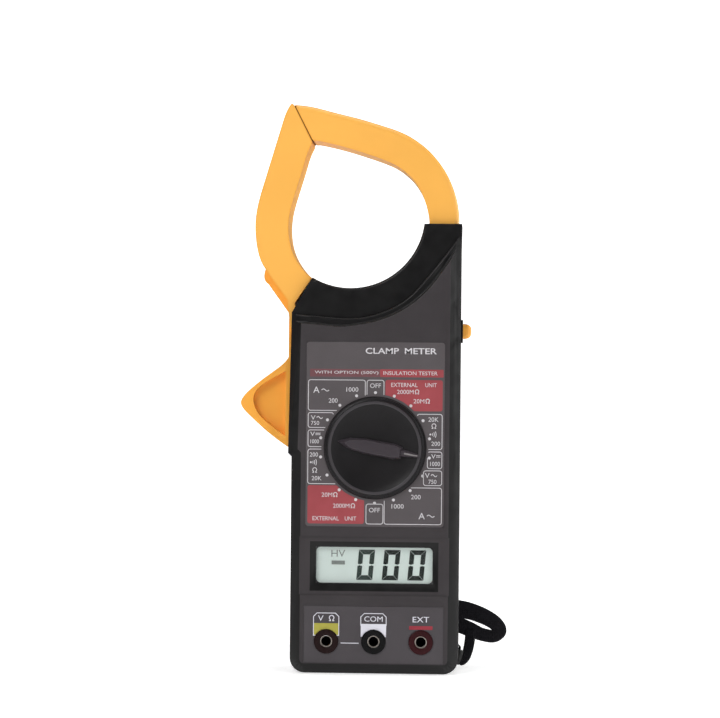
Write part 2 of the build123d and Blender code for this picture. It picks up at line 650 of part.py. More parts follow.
def round_sides(jaw, radius=2.2):
    """Round the side edges one at a time, smaller where the full radius will not go."""
    targets = [(edge.center(), edge.length) for edge in jaw.edges() if is_jaw_side(edge)]
    for centre, length in targets:
        done = False
        for factor in (1.0, 0.8, 0.6, 0.4):
            matches = [edge for edge in jaw.edges()
                       if (edge.center() - centre).length < 0.6
                       and is_long(edge, length, 3.0) and is_jaw_side(edge)]
            if not matches:
                break
            # guards against a radius that does not fit the curve
            try:
                rounded = jaw.fillet(radius * factor, matches[:1])
                if rounded.is_valid and rounded.volume > 0.5 * jaw.volume:
                    jaw, done = rounded, True
                    break
            except Exception:
                pass
        if done:
            continue
        for setback in (1.3, 0.8):
            # guards the fallback chamfer; if it fails too the edge stays sharp
            try:
                matches = [edge for edge in jaw.edges()
                           if (edge.center() - centre).length < 0.6 and is_jaw_side(edge)]
                chamfered = jaw.chamfer(setback, None, matches[:1])
                if chamfered.is_valid:
                    jaw = chamfered
                    break
            except Exception:
                pass
    return jaw


def jaw_blank(outline, core_outline, mouth):
    """Rounded jaw with the bed of its core, opened at the mating face."""
    jaw = round_sides(prism(outline, -JAW_Y, JAW_Y))
    for gap in (CORE_GAP, 0.0):
        jaw -= prism(core_outline(gap), *CORE_BED)
    return jaw - prism(mouth, *CORE_BED)


def save_halves(name, jaw):
    """Split a jaw on the parting plane into its two mouldings."""
    save(name + "_rear", one(jaw & box(-80, 80, 0.01, 40, -20, 260)))
    save(name + "_front", one(jaw & box(-80, 80, -40, -0.01, -20, 260)))


def laminated(outline, mouth):
    """Core with fine grooves at its mating face, where the lamination packs end."""
    core = prism(outline, -CORE_Y, CORE_Y)
    for i in range(1, 12):
        y = -CORE_Y + i
        core -= prism(mouth, y - 0.06, y + 0.06)
    return one(core)


def moving_jaw():
    jaw = jaw_blank(moving_jaw_outline(), moving_core_outline,
                    [(-33.7, 227.7), (-28.2, 216.8), (-26.5, 214.0), (-24.0, 218.0),
                     (-31.0, 230.0)])
    # mouth at the lower end of the core
    jaw -= prism([(-33.7, 151.7), (-29.35, 157.4), (-27.0, 157.5), (-31.6, 149.6)], *CORE_BED)
    # slot for the trigger blade
    jaw -= prism([(-48.0, 156.0), (-46.9, 163.9), (-44.2, 163.88), (-43.0, 163.2),
                  (-42.5, 161.4), (-35.0, 151.5), (-33.68, 148.65), (-32.8, 147.25),
                  (-24.0, 147.25), (-24.0, 134.0), (-48.0, 134.0)],
                 -LEVER_Y - 0.06, LEVER_Y + 0.06)
    jaw -= cyl_y(PIVOT, PIN_R + 0.05, -20, 20)
    # bed of the return spring in the rear ear, with a way out for its leg
    jaw -= cyl_y(PIVOT, 3.75, 6.5, 20)
    leg_end = polar(8.6, SPRING_LEG_ANGLE, SPRING_END)
    return jaw - prism([polar(0.75, 210, SPRING_END), polar(0.75, 30, SPRING_END),
                        polar(0.75, 30, leg_end), polar(0.75, 210, leg_end)], 6.5, 20)


save_halves("fixed_jaw", jaw_blank(
    fixed_jaw_outline(), fixed_core_outline,
    [(-33.3, 228.6), (-32.3, 227.2), (-27.2, 216.9), (-27.0, 215.8), (-29.0, 214.0),
     (-36.0, 227.0)]))
save("fixed_core", laminated(
    fixed_core_outline(), [(-34.0, 229.0), (-31.9, 226.9), (-27.0, 217.1), (-28.5, 214.5)]))
save_halves("moving_jaw", moving_jaw())
save("moving_core", laminated(
    moving_core_outline(),
    [(-34.5, 227.8), (-33.9, 226.9), (-28.8, 216.6), (-26.5, 215.5), (-31.0, 230.0)]))

# Pickup coil on its bobbin, around the core below the opening
bobbin = band(33.5, 43.5, -105.4, -74.6, -7.1, 7.1)
for start, end in ((-106.4, -105.1), (-74.9, -73.6)):          # flanges
    bobbin = bobbin + band(32.2, 46.0, start, end, -9.5, 9.5)
bobbin -= band(34.2, 42.8, -110.0, -70.0, -6.1, 6.1)
save("coil_bobbin", one(bobbin))
save("pickup_coil", one(band(32.35, 45.5, -105.05, -74.95, -9.2, 9.2)
                        - band(33.45, 43.55, -106.0, -74.0, -7.15, 7.15)))
# Two leads from the coil down to the board (x, y, z)
COIL_LEADS = [
    [(-1.2, -4.4, 140.9), (1.4, -4.8, 138.0), (2.6, -6.0, 131.5), (2.6, -7.5, 127.2)],
    [(-4.6, -4.4, 139.9), (-1.6, -4.8, 135.0), (0.4, -6.0, 130.5), (0.6, -7.5, 127.2)]]
save("coil_leads", *[rod(lead, 0.33) for lead in COIL_LEADS])

# ================================================================ TRIGGER
# Back end and finger side of the blade, and its pocket inside the rim (x, z)
BLADE_TOP = [(-45.7, 163.5), (-46.35, 161.2), (-46.1, 158.9), (-44.6, 157.2)]
BLADE_FINGER = [
    (-36.1, 127.6), (-37.2, 126.0), (-41.6, 122.2), (-47.4, 117.9), (-51.8, 114.2),
    (-54.7, 111.0), (-55.5, 108.9), (-54.6, 106.6), (-52.3, 104.1), (-48.9, 100.9),
    (-44.8, 97.3), (-40.0, 93.6), (-36.1, 90.9)]
FINGER_POCKET = [
    (-37.3, 121.9), (-43.0, 118.6), (-47.2, 115.9), (-49.4, 113.6), (-50.3, 111.3),
    (-50.3, 108.9), (-49.5, 106.5), (-47.9, 103.9), (-45.4, 101.4), (-41.6, 98.4),
    (-37.3, 95.4)]
BLADE_HUB = (-26.4, 137.87)


def pocket_sides(blade, outline, half_web):
    """Cut an outline from both sides, leaving a web in the middle."""
    for y0, y1 in ((-9.0, -half_web), (half_web, 9.0)):
        blade -= prism(outline, y0, y1)
    return blade


def jaw_trigger():
    blade = prism([*lines((-44.3, 163.68), BLADE_TOP[0]), spline(BLADE_TOP),
                   *lines(BLADE_TOP[-1], (-35.95, 145.2), (-36.1, 143.0), BLADE_FINGER[0]),
                   spline(BLADE_FINGER),
                   *lines(BLADE_FINGER[-1], (-33.2, 91.2), (-31.6, 93.2), (-31.2, 128.0),
                          BLADE_HUB),
                   arc(BLADE_HUB, (PIVOT[0] + HUB_R, PIVOT[1]), HUB_TOP),
                   *lines(HUB_TOP, NECK, (-33.9, 148.6), (-35.2, 151.5), (-42.7, 161.35),
                          (-43.2, 163.05), (-44.3, 163.68))], -LEVER_Y, LEVER_Y)
    blade = pocket_sides(
        blade, [spline(FINGER_POCKET), *lines(FINGER_POCKET[-1], FINGER_POCKET[0])], 1.3)
    # lightening pockets in the part of the blade that stays in the case
    blade = pocket_sides(
        blade, [(-34.6, 96.0), (-33.2, 96.0), (-32.9, 125.0), (-34.6, 125.0)], 1.5)
    return one(blade - cyl_y(PIVOT, PIN_R + 0.05, -20, 20))


def return_spring():
    """Coil of 2.5 turns about the hinge pin with one straight leg."""
    wire_r, pitch, per_turn = 0.36, 0.86, 16
    points = []
    for i in range(int(2.5 * per_turn) + 1):
        x, z = polar(SPRING_R, 30 + 360 * i / per_turn, PIVOT)
        points.append((x, 6.98 + pitch * i / per_turn, z))
    coil = rod(points, wire_r)
    angle = math.radians(SPRING_LEG_ANGLE)
    along = Vector(math.cos(angle), 0, math.sin(angle))
    start = Vector(*points[-1]) - along * 0.15
    leg = Solid.make_cylinder(wire_r, 8.4, Plane(origin=start, z_dir=along))
    # guards the join of leg and coil; if it fails the coil stands alone
    try:
        return one(coil + leg)
    except Exception:
        return coil


save("jaw_trigger", jaw_trigger())
save("jaw_pivot_pin", cyl_y(PIVOT, PIN_R, -PIN_Y, PIN_Y))
save("return_spring", return_spring())


# ================================================================ HOLD BUTTON
def hold_bezel():
    lip = button_box(34.05, 34.85, 4.3, 4.65)
    lip = try_fillet(lip, [edge for edge in lip.edges() if is_long(edge, 0.8)], 1.2)
    bezel = button_box(31.0, 34.05, 3.8, 4.2) + lip
    return one(bezel - button_box(30.0, 36.0, 2.95, 3.55))


def button_section(x, half_y, half_z):
    signs = ((-1, -1), (1, -1), (1, 1), (-1, 1))
    return Wire.make_polygon([Vector(x, BUTTON_Y + i * half_y, BUTTON_Z + j * half_z)
                              for i, j in signs], close=True)


def hold_button():
    button = Solid.make_loft([button_section(30.2, 2.85, 3.45), button_section(38.3, 2.3, 2.6)])
    outer_end = [edge for edge in button.edges() if edge.center().X > 38.2]
    button = try_fillet(button, outer_end, 0.9)
    return one(button + button_box(29.0, 30.3, 3.3, 4.0))


save("hold_bezel", hold_bezel())
save("hold_button", hold_button())
save("hold_switch", one(box(20.4, 25.0, SEAT_Y, -2.0, BUTTON_Z - 3.0, BUTTON_Z + 3.0)
                        + cyl_x(BUTTON_Y, BUTTON_Z, 1.6, 24.9, 28.1)))

# ================================================================ SELECTOR
SKIRT_Y = -18.3           # front of the wide skirt
DISC_Y = -19.3            # front of the disc on it
HUB_FLAT = 3.9            # height of the flat on the drive hub
# Pointer bar, and the hollow on its +z side, in knob coordinates (along, across)
POINTER_BAR = [
    (-17.6, 0.0), (-13.4, 3.3), (-6.0, 3.9), (13.6, 3.9), (14.6, 2.9), (14.6, -2.9),
    (13.6, -3.9), (-6.0, -3.9), (-13.4, -3.3)]
HOLLOW = [
    (-14.6, 3.6), (-7.0, 4.4), (4.0, 4.6), (14.8, 4.6), (11.6, 10.6), (4.5, 14.9),
    (-4.5, 14.9), (-11.2, 11.0), (-14.6, 3.6)]


def on_knob(points, degrees=KNOB_ANGLE):
    """Knob coordinates turned by an angle and placed on the knob's centre."""
    cosine, sine = math.cos(math.radians(degrees)), math.sin(math.radians(degrees))
    return [(KNOB[0] + x * cosine - z * sine, KNOB[1] + x * sine + z * cosine)
            for x, z in points]


def knob_bar(x0, x1, half_width, y0, y1, degrees=KNOB_ANGLE):
    """Radial bar from x0 to x1 in knob coordinates."""
    corners = [(x0, -half_width), (x1, -half_width), (x1, half_width), (x0, half_width)]
    return prism(on_knob(corners, degrees), y0, y1)


def above_flat(y0, flat):
    return mid_box(6, y0, -11, KNOB[1] + flat, KNOB[1] + 6)


def selector_knob():
    knob = one(cyl_y(KNOB, KNOB_R, SKIRT_Y, -16.8) + cyl_y(KNOB, 18.5, DISC_Y, -18.2))
    skirt = [edge for edge in knob.edges()
             if on_y(edge, SKIRT_Y) and is_long(edge, 2 * math.pi * KNOB_R, 0.1)]
    knob = try_fillet(knob, skirt, 0.8)
    knob = try_fillet(knob, [edge for edge in knob.edges() if on_y(edge, DISC_Y)], 0.6)
    # finger hollows either side of the pointer bar
    for side in (1, -1):
        hollow = on_knob([(x, z * side) for x, z in HOLLOW])
        knob -= prism([spline(hollow)], -21.0, -17.6)
    bar = prism(on_knob(POINTER_BAR), -KNOB_TOP, -17.5)
    bar = try_fillet(bar, [edge for edge in bar.edges() if on_y(edge, -KNOB_TOP)], 0.7)
    knob = knob + bar
    # shaft, then the drive hub with its flat
    knob = knob + cyl_y(KNOB, KNOB_SHAFT_R, -16.9, -14.45)
    knob = knob + (cyl_y(KNOB, 4.9, -14.6, -11.7) - above_flat(-14.4, HUB_FLAT))
    knob -= cyl_y(KNOB, 1.2, -17.6, -11.0)
    # groove for the index mark
    return one(knob - knob_bar(14.8, 19.3, 0.55, -21.0, -18.0))


def radial_cylinder(start, radius, length, degrees):
    """Cylinder pointing outwards in the detent plane, from radius start."""
    x, z = polar(start, degrees, KNOB)
    angle = math.radians(degrees)
    return Solid.make_cylinder(radius, length, Plane(
        origin=(x, DETENT_Y, z), z_dir=(math.cos(angle), 0, math.sin(angle))))


def wiper_carrier():
    carrier = cyl_y(KNOB, 15.0, -14.38, -11.8)
    carrier -= cyl_y(KNOB, 4.95, -15, -11) - above_flat(-15, HUB_FLAT + 0.05)
    carrier -= tube_y(KNOB, 13.4, 7.0, -12.9, -11.0)
    # barrels that hold the detent springs
    for degrees in DETENT_ANGLES:
        carrier = carrier + radial_cylinder(8.4, 1.29, 6.4, degrees)
        carrier -= radial_cylinder(9.0, 0.99, 8.0, degrees)
    return one(carrier)


def detent_ball(degrees):
    x, z = polar(15.4, degrees, KNOB)
    return Solid.make_sphere(0.95, Plane(origin=(x, DETENT_Y, z)))


def detent_spring(degrees):
    """Six-turn coil that runs outwards along a radius of the knob."""
    coil_r, turns, per_turn = 0.68, 6, 12
    steps = turns * per_turn
    points = []
    for i in range(steps + 1):
        turn = 2 * math.pi * i / per_turn
        local = (9.3 + 5.0 * i / steps, coil_r * math.cos(turn))
        x, z = on_knob([local], degrees)[0]
        points.append((x, DETENT_Y + coil_r * math.sin(turn), z))
    return rod(points, 0.15)


def wiper_contact(degrees):
    """Flat strip with two round feet that reach to the board."""
    wiper = knob_bar(7.4, 13.1, 0.9, -12.85, -12.45, degrees)
    for radius in (9.0, 12.2):
        wiper = wiper + cyl_y(polar(radius, degrees, KNOB), 0.55, -12.6, -9.56)
    return one(wiper)


save("selector_knob", selector_knob())
save("knob_index_mark", knob_bar(14.85, 18.3, 0.5, -19.32, -18.02))
save("wiper_carrier", wiper_carrier())
save("detent_balls", *[detent_ball(degrees) for degrees in DETENT_ANGLES])
save("detent_springs", *[detent_spring(degrees) for degrees in DETENT_ANGLES])
save("wiper_contacts", *[wiper_contact(degrees) for degrees in (20.0, 140.0, 200.0, 320.0)])
save("knob_screw", one(cyl_y(KNOB, 2.6, -11.65, -10.5) + cyl_y(KNOB, 1.15, -17.4, -11.6)
                       - box_at(KNOB, 1.7, 0.3, -10.9, -10.0)))

# ================================================================ WRIST STRAP
# Cord from the bead round the anchor pin and back (x, y, z)
CORD = [
    (34.0, 11.75, 4.6), (34.6, 11.75, 7.0), (34.5, 11.9, 8.6), (33.3, 12.1, 9.4),
    (31.0, 12.2, 8.5), (28.9, 12.2, 6.7), (28.3, 12.2, 4.6), (28.9, 12.2, 3.2),
    (30.5, 12.2, 2.8), (31.8, 12.25, 4.2), (32.4, 12.4, 6.4), (33.3, 12.6, 7.9),
    (34.3, 12.7, 7.6), (34.2, 12.7, 5.9), (33.95, 12.7, 4.8)]
# Round tail from the flat strap to the bead (x, y, z)
TAIL = [
    (38.6, 17.4, 14.6), (38.5, 16.9, 11.4), (38.1, 15.4, 7.6),
    (37.0, 13.6, 3.9), (35.6, 12.4, 2.1), (33.9, 12.2, 1.75)]
# Flat strap lying behind the case: outline and the slit inside its loop (x, z)
STRAP_OUTLINE = [
    (34.0, 28.0), (41.4, 26.5), (48.0, 22.8), (52.9, 18.6), (54.0, 15.6), (51.2, 11.2),
    (46.9, 9.8), (39.2, 12.7), (30.0, 13.8), (10.0, 14.4), (-14.0, 14.2), (-22.5, 16.6),
    (-24.4, 21.2), (-22.0, 26.0), (-14.0, 28.2), (6.0, 28.4), (22.0, 28.5), (34.0, 28.0)]
STRAP_SLIT = [
    (35.4, 20.55), (47.9, 17.9), (48.6, 16.2), (47.9, 14.9), (44.0, 15.6), (35.4, 19.5),
    (20.0, 20.9), (-14.0, 21.0), (-16.2, 21.3), (-14.0, 21.6), (20.0, 21.5), (35.4, 20.55)]
CORD_R, TAIL_R = 0.38, 0.95


def strap_bead():
    bead = Solid.make_cylinder(1.45, 6.2, Plane(origin=(33.2, BEAD_Y, 1.2), z_dir=(1.6, 0, 6.1)))
    bead = try_fillet(bead, list(bead.edges().filter_by(GeomType.CIRCLE)), 0.45)
    bead -= rod(CORD, CORD_R + 0.04)
    return one(bead - rod(TAIL, TAIL_R + 0.03))


def wrist_strap():
    strap = prism([spline(STRAP_OUTLINE)], Y_FACE + 0.45, Y_FACE + 1.85)
    strap -= prism([spline(STRAP_SLIT)], Y_FACE, Y_FACE + 3.0)
    return one(strap + rod(TAIL, TAIL_R))


save("strap_anchor_pin", cyl_y(STRAP_PIN, 1.0, 9.25, 15.5))
save("strap_cord", rod(CORD, CORD_R))
save("strap_bead", strap_bead())
save("wrist_strap", wrist_strap())
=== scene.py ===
"""Clamp meter with a rotary selector, a display, three sockets and a wrist strap.

The meter stands upright along Z. Its dial, display and sockets face -Y, the strap
lies behind the case (+Y), and the hold button points to +X. The CAD pieces are in
metres; the shapes made here are written in millimetres and scaled by MM.
"""
import bpy
import bmesh
import json
import math
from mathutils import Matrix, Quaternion, Vector


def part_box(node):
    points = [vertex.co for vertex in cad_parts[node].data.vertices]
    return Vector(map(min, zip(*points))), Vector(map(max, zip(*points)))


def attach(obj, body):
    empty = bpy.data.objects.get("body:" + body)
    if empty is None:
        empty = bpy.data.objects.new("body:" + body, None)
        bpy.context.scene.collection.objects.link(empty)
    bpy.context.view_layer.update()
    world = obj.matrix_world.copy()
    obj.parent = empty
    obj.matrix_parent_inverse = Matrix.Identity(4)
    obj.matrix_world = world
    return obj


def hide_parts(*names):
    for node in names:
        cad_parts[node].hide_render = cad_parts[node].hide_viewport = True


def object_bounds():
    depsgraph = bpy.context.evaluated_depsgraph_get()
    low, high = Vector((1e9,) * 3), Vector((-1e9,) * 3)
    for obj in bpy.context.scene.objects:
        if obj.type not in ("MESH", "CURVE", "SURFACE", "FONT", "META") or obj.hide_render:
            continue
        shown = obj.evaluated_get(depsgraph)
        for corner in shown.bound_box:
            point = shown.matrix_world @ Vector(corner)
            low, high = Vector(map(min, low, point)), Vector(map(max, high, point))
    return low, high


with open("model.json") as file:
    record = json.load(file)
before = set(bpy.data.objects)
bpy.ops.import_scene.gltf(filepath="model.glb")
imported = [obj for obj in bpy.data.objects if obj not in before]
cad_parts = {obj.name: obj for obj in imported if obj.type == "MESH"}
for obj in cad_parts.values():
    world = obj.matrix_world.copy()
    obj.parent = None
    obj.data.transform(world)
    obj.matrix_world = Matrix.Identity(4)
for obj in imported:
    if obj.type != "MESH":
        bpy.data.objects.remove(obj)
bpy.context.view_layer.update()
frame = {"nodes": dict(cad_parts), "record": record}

MM = 0.001


def box_mm(node):
    """Low and high corners of a CAD piece, in mm."""
    return [[value / MM for value in corner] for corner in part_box(node)]


# ------------------------------------------------------------- shader helpers
def shader(tree, kind, inputs=None, **settings):
    """New shader node; each input is given a value, or the output socket that feeds it."""
    made = tree.nodes.new("ShaderNode" + kind)
    for key, value in settings.items():
        setattr(made, key, value)
    for key, value in (inputs or {}).items():
        if isinstance(value, bpy.types.NodeSocket):
            tree.links.new(value, made.inputs[key])
        else:
            made.inputs[key].default_value = value
    return made


def empty_material(name):
    material = bpy.data.materials.new(name)
    material.use_nodes = True
    material.node_tree.nodes.clear()
    return material


def principled(material):
    return next(n for n in material.node_tree.nodes if n.type == "BSDF_PRINCIPLED")


def surface(name, color, roughness, variation, grain, bump, specular=0.5, mottle=60.0,
            edge_wear_and_painted_light=0.0, rubbed_and_painted_light_colour=None, metal=0.0, coat=0.0, glow=0.0, edge_wear_and_painted_light_radius=0.0005):
    """Mottled colour, grain in roughness and bump, and edges tinted another colour: painted shade
    on the orange plastics, painted highlights on the black case, and lighter edges on the other
    parts.

    variation is the colour spread, mottle and grain are the coarse and fine noise scales.
    """
    material = empty_material(name)
    tree = material.node_tree
    place = shader(tree, "TexCoord").outputs["Object"]
    blotches = shader(tree, "TexNoise",
                      {"Vector": place, "Scale": mottle, "Detail": 6}).outputs["Fac"]
    grains = shader(tree, "TexNoise",
                    {"Vector": place, "Scale": grain, "Detail": 4}).outputs["Fac"]
    ramp = shader(tree, "ValToRGB", {"Fac": blotches})
    dark, light = ramp.color_ramp.elements
    dark.position = 0.32
    dark.color = [max(0, c * (1 - variation)) for c in color] + [1]
    light.position = 0.68
    light.color = [min(1, c * (1 + variation) + 0.002) for c in color] + [1]
    tint = ramp.outputs["Color"]
    if edge_wear_and_painted_light > 0:
        # where the bevelled normal leaves the true one, there is an edge
        flatness = shader(tree, "VectorMath", {
            0: shader(tree, "NewGeometry").outputs["Normal"],
            1: shader(tree, "Bevel", {"Radius": edge_wear_and_painted_light_radius}, samples=4).outputs[0],
        }, operation="DOT_PRODUCT")
        edge = shader(tree, "MapRange", {"Value": flatness.outputs["Value"],
                                         "From Min": 0.97, "From Max": 0.78})
        patchy = shader(tree, "Math", {0: edge.outputs[0], 1: blotches}, operation="MULTIPLY")
        amount = shader(tree, "Math", {0: patchy.outputs[0], 1: edge_wear_and_painted_light}, operation="MULTIPLY")
        # the edge colour is painted shade on the orange plastics and a painted highlight on the
        # black case
        rubbed_and_painted_light_colour = rubbed_and_painted_light_colour or [min(1, c * 1.8 + 0.03) for c in color]
        tint = shader(tree, "Mix", {"Factor": amount.outputs[0], "A": tint, "B": (*rubbed_and_painted_light_colour, 1)},
                      data_type="RGBA").outputs["Result"]
    gloss = shader(tree, "MapRange", {
        "Value": grains, "From Min": 0.3, "From Max": 0.7,
        "To Min": max(0.03, roughness - 0.07), "To Max": min(1, roughness + 0.09)})
    relief = shader(tree, "Bump", {"Height": grains, "Strength": bump, "Distance": 0.0002})
    bsdf = shader(tree, "BsdfPrincipled", {
        "Base Color": tint, "Roughness": gloss.outputs[0], "Normal": relief.outputs[0],
        "Metallic": metal, "Specular IOR Level": specular,
        "Coat Weight": coat, "Coat Roughness": 0.12})
    if glow > 0:
        tree.links.new(tint, bsdf.inputs["Emission Color"])
        bsdf.inputs["Emission Strength"].default_value = glow
    shader(tree, "OutputMaterial", {0: bsdf.outputs[0]})
    return material


def window_material():
    """Clear sheet with a faint gloss on its outer faces only."""
    material = empty_material("display_window")
    tree = material.node_tree
    place = shader(tree, "TexCoord").outputs["Object"]
    smears = shader(tree, "TexNoise", {"Vector": place, "Scale": 260})
    gloss = shader(tree, "MapRange", {"Value": smears.outputs["Fac"],
                                      "To Min": 0.05, "To Max": 0.16})
    clear = shader(tree, "BsdfTransparent", {0: (0.97, 0.975, 0.975, 1)})
    glossy = shader(tree, "BsdfGlossy", {"Roughness": gloss.outputs[0]})
    behind = shader(tree, "NewGeometry").outputs["Backfacing"]
    outward = shader(tree, "Math", {0: 1.0, 1: behind}, operation="SUBTRACT")
    fresnel = shader(tree, "Fresnel", {"IOR": 1.35})
    share = shader(tree, "Math", {0: fresnel.outputs[0], 1: outward.outputs[0]},
                   operation="MULTIPLY")
    mix = shader(tree, "MixShader", {0: share.outputs[0], 1: clear.outputs[0],
                                     2: glossy.outputs[0]})
    shader(tree, "OutputMaterial", {0: mix.outputs[0]})
    return material


def woven_material(name, color):
    """Woven nylon: two crossed waves for warp and weft in the bump, noise in the colour."""
    material = empty_material(name)
    tree = material.node_tree
    place = shader(tree, "TexCoord").outputs["Object"]
    warp, weft = [
        shader(tree, "TexWave", {"Vector": place, "Scale": 420, "Distortion": 0.6},
               bands_direction=axis).outputs["Fac"] for axis in "XZ"]
    noise = shader(tree, "TexNoise", {"Vector": place, "Scale": 300, "Detail": 5})
    weave = shader(tree, "Math", {0: warp, 1: weft}, operation="MULTIPLY")
    tint = shader(tree, "Mix", {
        "Factor": noise.outputs["Fac"],
        "A": [c * 0.6 for c in color] + [1],
        "B": [c * 1.7 for c in color] + [1]}, data_type="RGBA")
    relief = shader(tree, "Bump", {"Height": weave.outputs[0],
                                   "Strength": 0.6, "Distance": 0.0003})
    bsdf = shader(tree, "BsdfPrincipled", {
        "Base Color": tint.outputs["Result"], "Normal": relief.outputs[0],
        "Roughness": 0.8, "Sheen Weight": 0.05, "Specular IOR Level": 0.15})
    shader(tree, "OutputMaterial", {0: bsdf.outputs[0]})
    return material


def sleeve_material():
    """Nickel sleeve, bright at its front rim, its colour painted dark down the bore as painted
    shade.
    """
    material = surface("socket_sleeve", (0.42, 0.38, 0.34), roughness=0.32, variation=0.12,
                       grain=900, bump=0.1, metal=0.85)
    tree = material.node_tree
    base = principled(material).inputs["Base Color"]
    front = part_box("jack_sleeve_com")[0].y
    axes = shader(tree, "SeparateXYZ", {0: shader(tree, "TexCoord").outputs["Object"]})
    # the colour falls to near black down the bore: painted shade
    depth = shader(tree, "MapRange", {"Value": axes.outputs["Y"],
                                      "From Min": front + 0.0003, "From Max": front + 0.0022})
    mix = shader(tree, "Mix", {"Factor": depth.outputs[0], "A": base.links[0].from_socket,
                               "B": (0.006, 0.005, 0.005, 1)}, data_type="RGBA")
    tree.links.new(mix.outputs["Result"], base)
    return material


def srgb(color):
    """Linear values of a colour given as 0-255 sRGB."""
    return [c / 255 / 12.92 if c / 255 <= 0.04045 else ((c / 255 + 0.055) / 1.055) ** 2.4
            for c in color]


# ------------------------------------------------------------------ materials
# sRGB colour, roughness, variation, grain, bump, specular, mottle, edge tint amount (edge wear and
# painted light), edge colour
CASE_AND_PRINT = {
    # brown for the slab in the jaw gap: painted shade
    "jaw_gap_shade": ((120, 66, 22), 0.6, 0.15, 900, 0.1, 0.1, 60, 0, None),
    # the black case lightens along its edges and ridges: painted highlights
    "case_black": ((9, 8, 9), 0.36, 0.08, 260, 0.02, 0.28, 60, 0.8, (84, 80, 84)),
    "case_panel": ((58, 54, 56), 0.5, 0.06, 2200, 0.1, 0.2, 60, 0.3, (96, 92, 95)),
    "case_rear": ((20, 18, 20), 0.42, 0.12, 1800, 0.14, 0.3, 60, 0.4, (70, 66, 70)),
    "label_grey": ((88, 83, 85), 0.5, 0.05, 1600, 0.12, 0.15, 60, 0, None),
    "label_grey_low": ((76, 72, 75), 0.5, 0.05, 1600, 0.12, 0.15, 60, 0, None),
    "print_white": ((208, 205, 208), 0.5, 0.05, 1500, 0.08, 0.15, 60, 0, None),
    "print_red": ((158, 74, 79), 0.5, 0.08, 1500, 0.1, 0.15, 90, 0, None),
    "print_red_dim": ((116, 78, 82), 0.5, 0.07, 1500, 0.1, 0.15, 90, 0, None),
    "print_red_strong": ((150, 56, 66), 0.5, 0.08, 1500, 0.1, 0.15, 90, 0, None),
    "print_yellow": ((170, 163, 74), 0.5, 0.07, 1500, 0.08, 0.15, 90, 0, None),
    "print_tab_white": ((222, 221, 230), 0.5, 0.03, 1500, 0.06, 0.15, 60, 0, None),
    "knob_black": ((20, 18, 20), 0.4, 0.12, 1700, 0.1, 0.22, 60, 0.4, (78, 74, 78)),
    # lighter grey for the ring near the knob's rim: painted highlight
    "knob_ring": ((60, 57, 60), 0.35, 0.08, 1700, 0.15, 0.3, 60, 0.3, (100, 96, 100)),
    "knob_bar": ((58, 52, 57), 0.45, 0.08, 1700, 0.2, 0.25, 60, 0.4, (104, 98, 102)),
    "knob_index": ((122, 118, 118), 0.45, 0.05, 1500, 0.1, 0.5, 60, 0, None),
    "lcd_segment": ((26, 34, 31), 0.5, 0.1, 700, 0.02, 0.1, 60, 0, None),
    "lcd_segment_mid": ((48, 60, 56), 0.5, 0.1, 700, 0.02, 0.1, 60, 0, None),
    "lcd_segment_pale": ((118, 124, 120), 0.5, 0.05, 700, 0.02, 0.5, 60, 0, None),
    "collar_dark_red": ((26, 8, 8), 0.3, 0.15, 900, 0.08, 0.12, 60, 0.12, (110, 66, 60)),
    "collar_black": ((6, 6, 7), 0.3, 0.15, 900, 0.08, 0.12, 60, 0.12, (74, 72, 76)),
    "collar_red": ((46, 9, 14), 0.3, 0.15, 900, 0.08, 0.12, 60, 0.12, (138, 74, 76)),
}
# linear colour, roughness, variation, grain, bump, edge tint amount (edge wear and painted light),
# edge colour, metal, coat
INNER_PARTS = {
    "zinc_steel": ((0.5, 0.5, 0.52), 0.33, 0.12, 900, 0.15, 0.3, (0.8, 0.8, 0.82), 1, 0),
    "lamination_steel": ((0.28, 0.28, 0.3), 0.45, 0.2, 1200, 0.3, 0.3, (0.6, 0.6, 0.6), 1, 0),
    "enamel_copper": ((0.45, 0.17, 0.06), 0.32, 0.15, 1500, 0.3, 0.1, None, 0.8, 0),
    "pcb_green": ((0.015, 0.12, 0.05), 0.35, 0.12, 600, 0.1, 0.1, None, 0, 0.3),
    "moulded_black": ((0.015, 0.015, 0.017), 0.5, 0.15, 1200, 0.2, 0.3, None, 0, 0),
    "rubber_black": ((0.012, 0.012, 0.012), 0.7, 0.15, 1200, 0.3, 0.2, None, 0, 0),
    "acetal_cream": ((0.62, 0.6, 0.53), 0.45, 0.06, 900, 0.1, 0.1, None, 0, 0),
    "wire_red": ((0.5, 0.02, 0.02), 0.5, 0.08, 900, 0.1, 0.1, None, 0, 0),
    "wire_yellow": ((0.55, 0.42, 0.03), 0.5, 0.08, 900, 0.1, 0.1, None, 0, 0),
    "lacquer_blue": ((0.1, 0.22, 0.42), 0.4, 0.12, 900, 0.1, 0.2, None, 0, 0),
    "dipped_amber": ((0.5, 0.16, 0.03), 0.3, 0.1, 500, 0.1, 0.1, None, 0, 0.3),
    "battery_jacket": ((0.02, 0.04, 0.09), 0.35, 0.15, 900, 0.1, 0.3, (0.35, 0.35, 0.38), 0.4, 0),
}

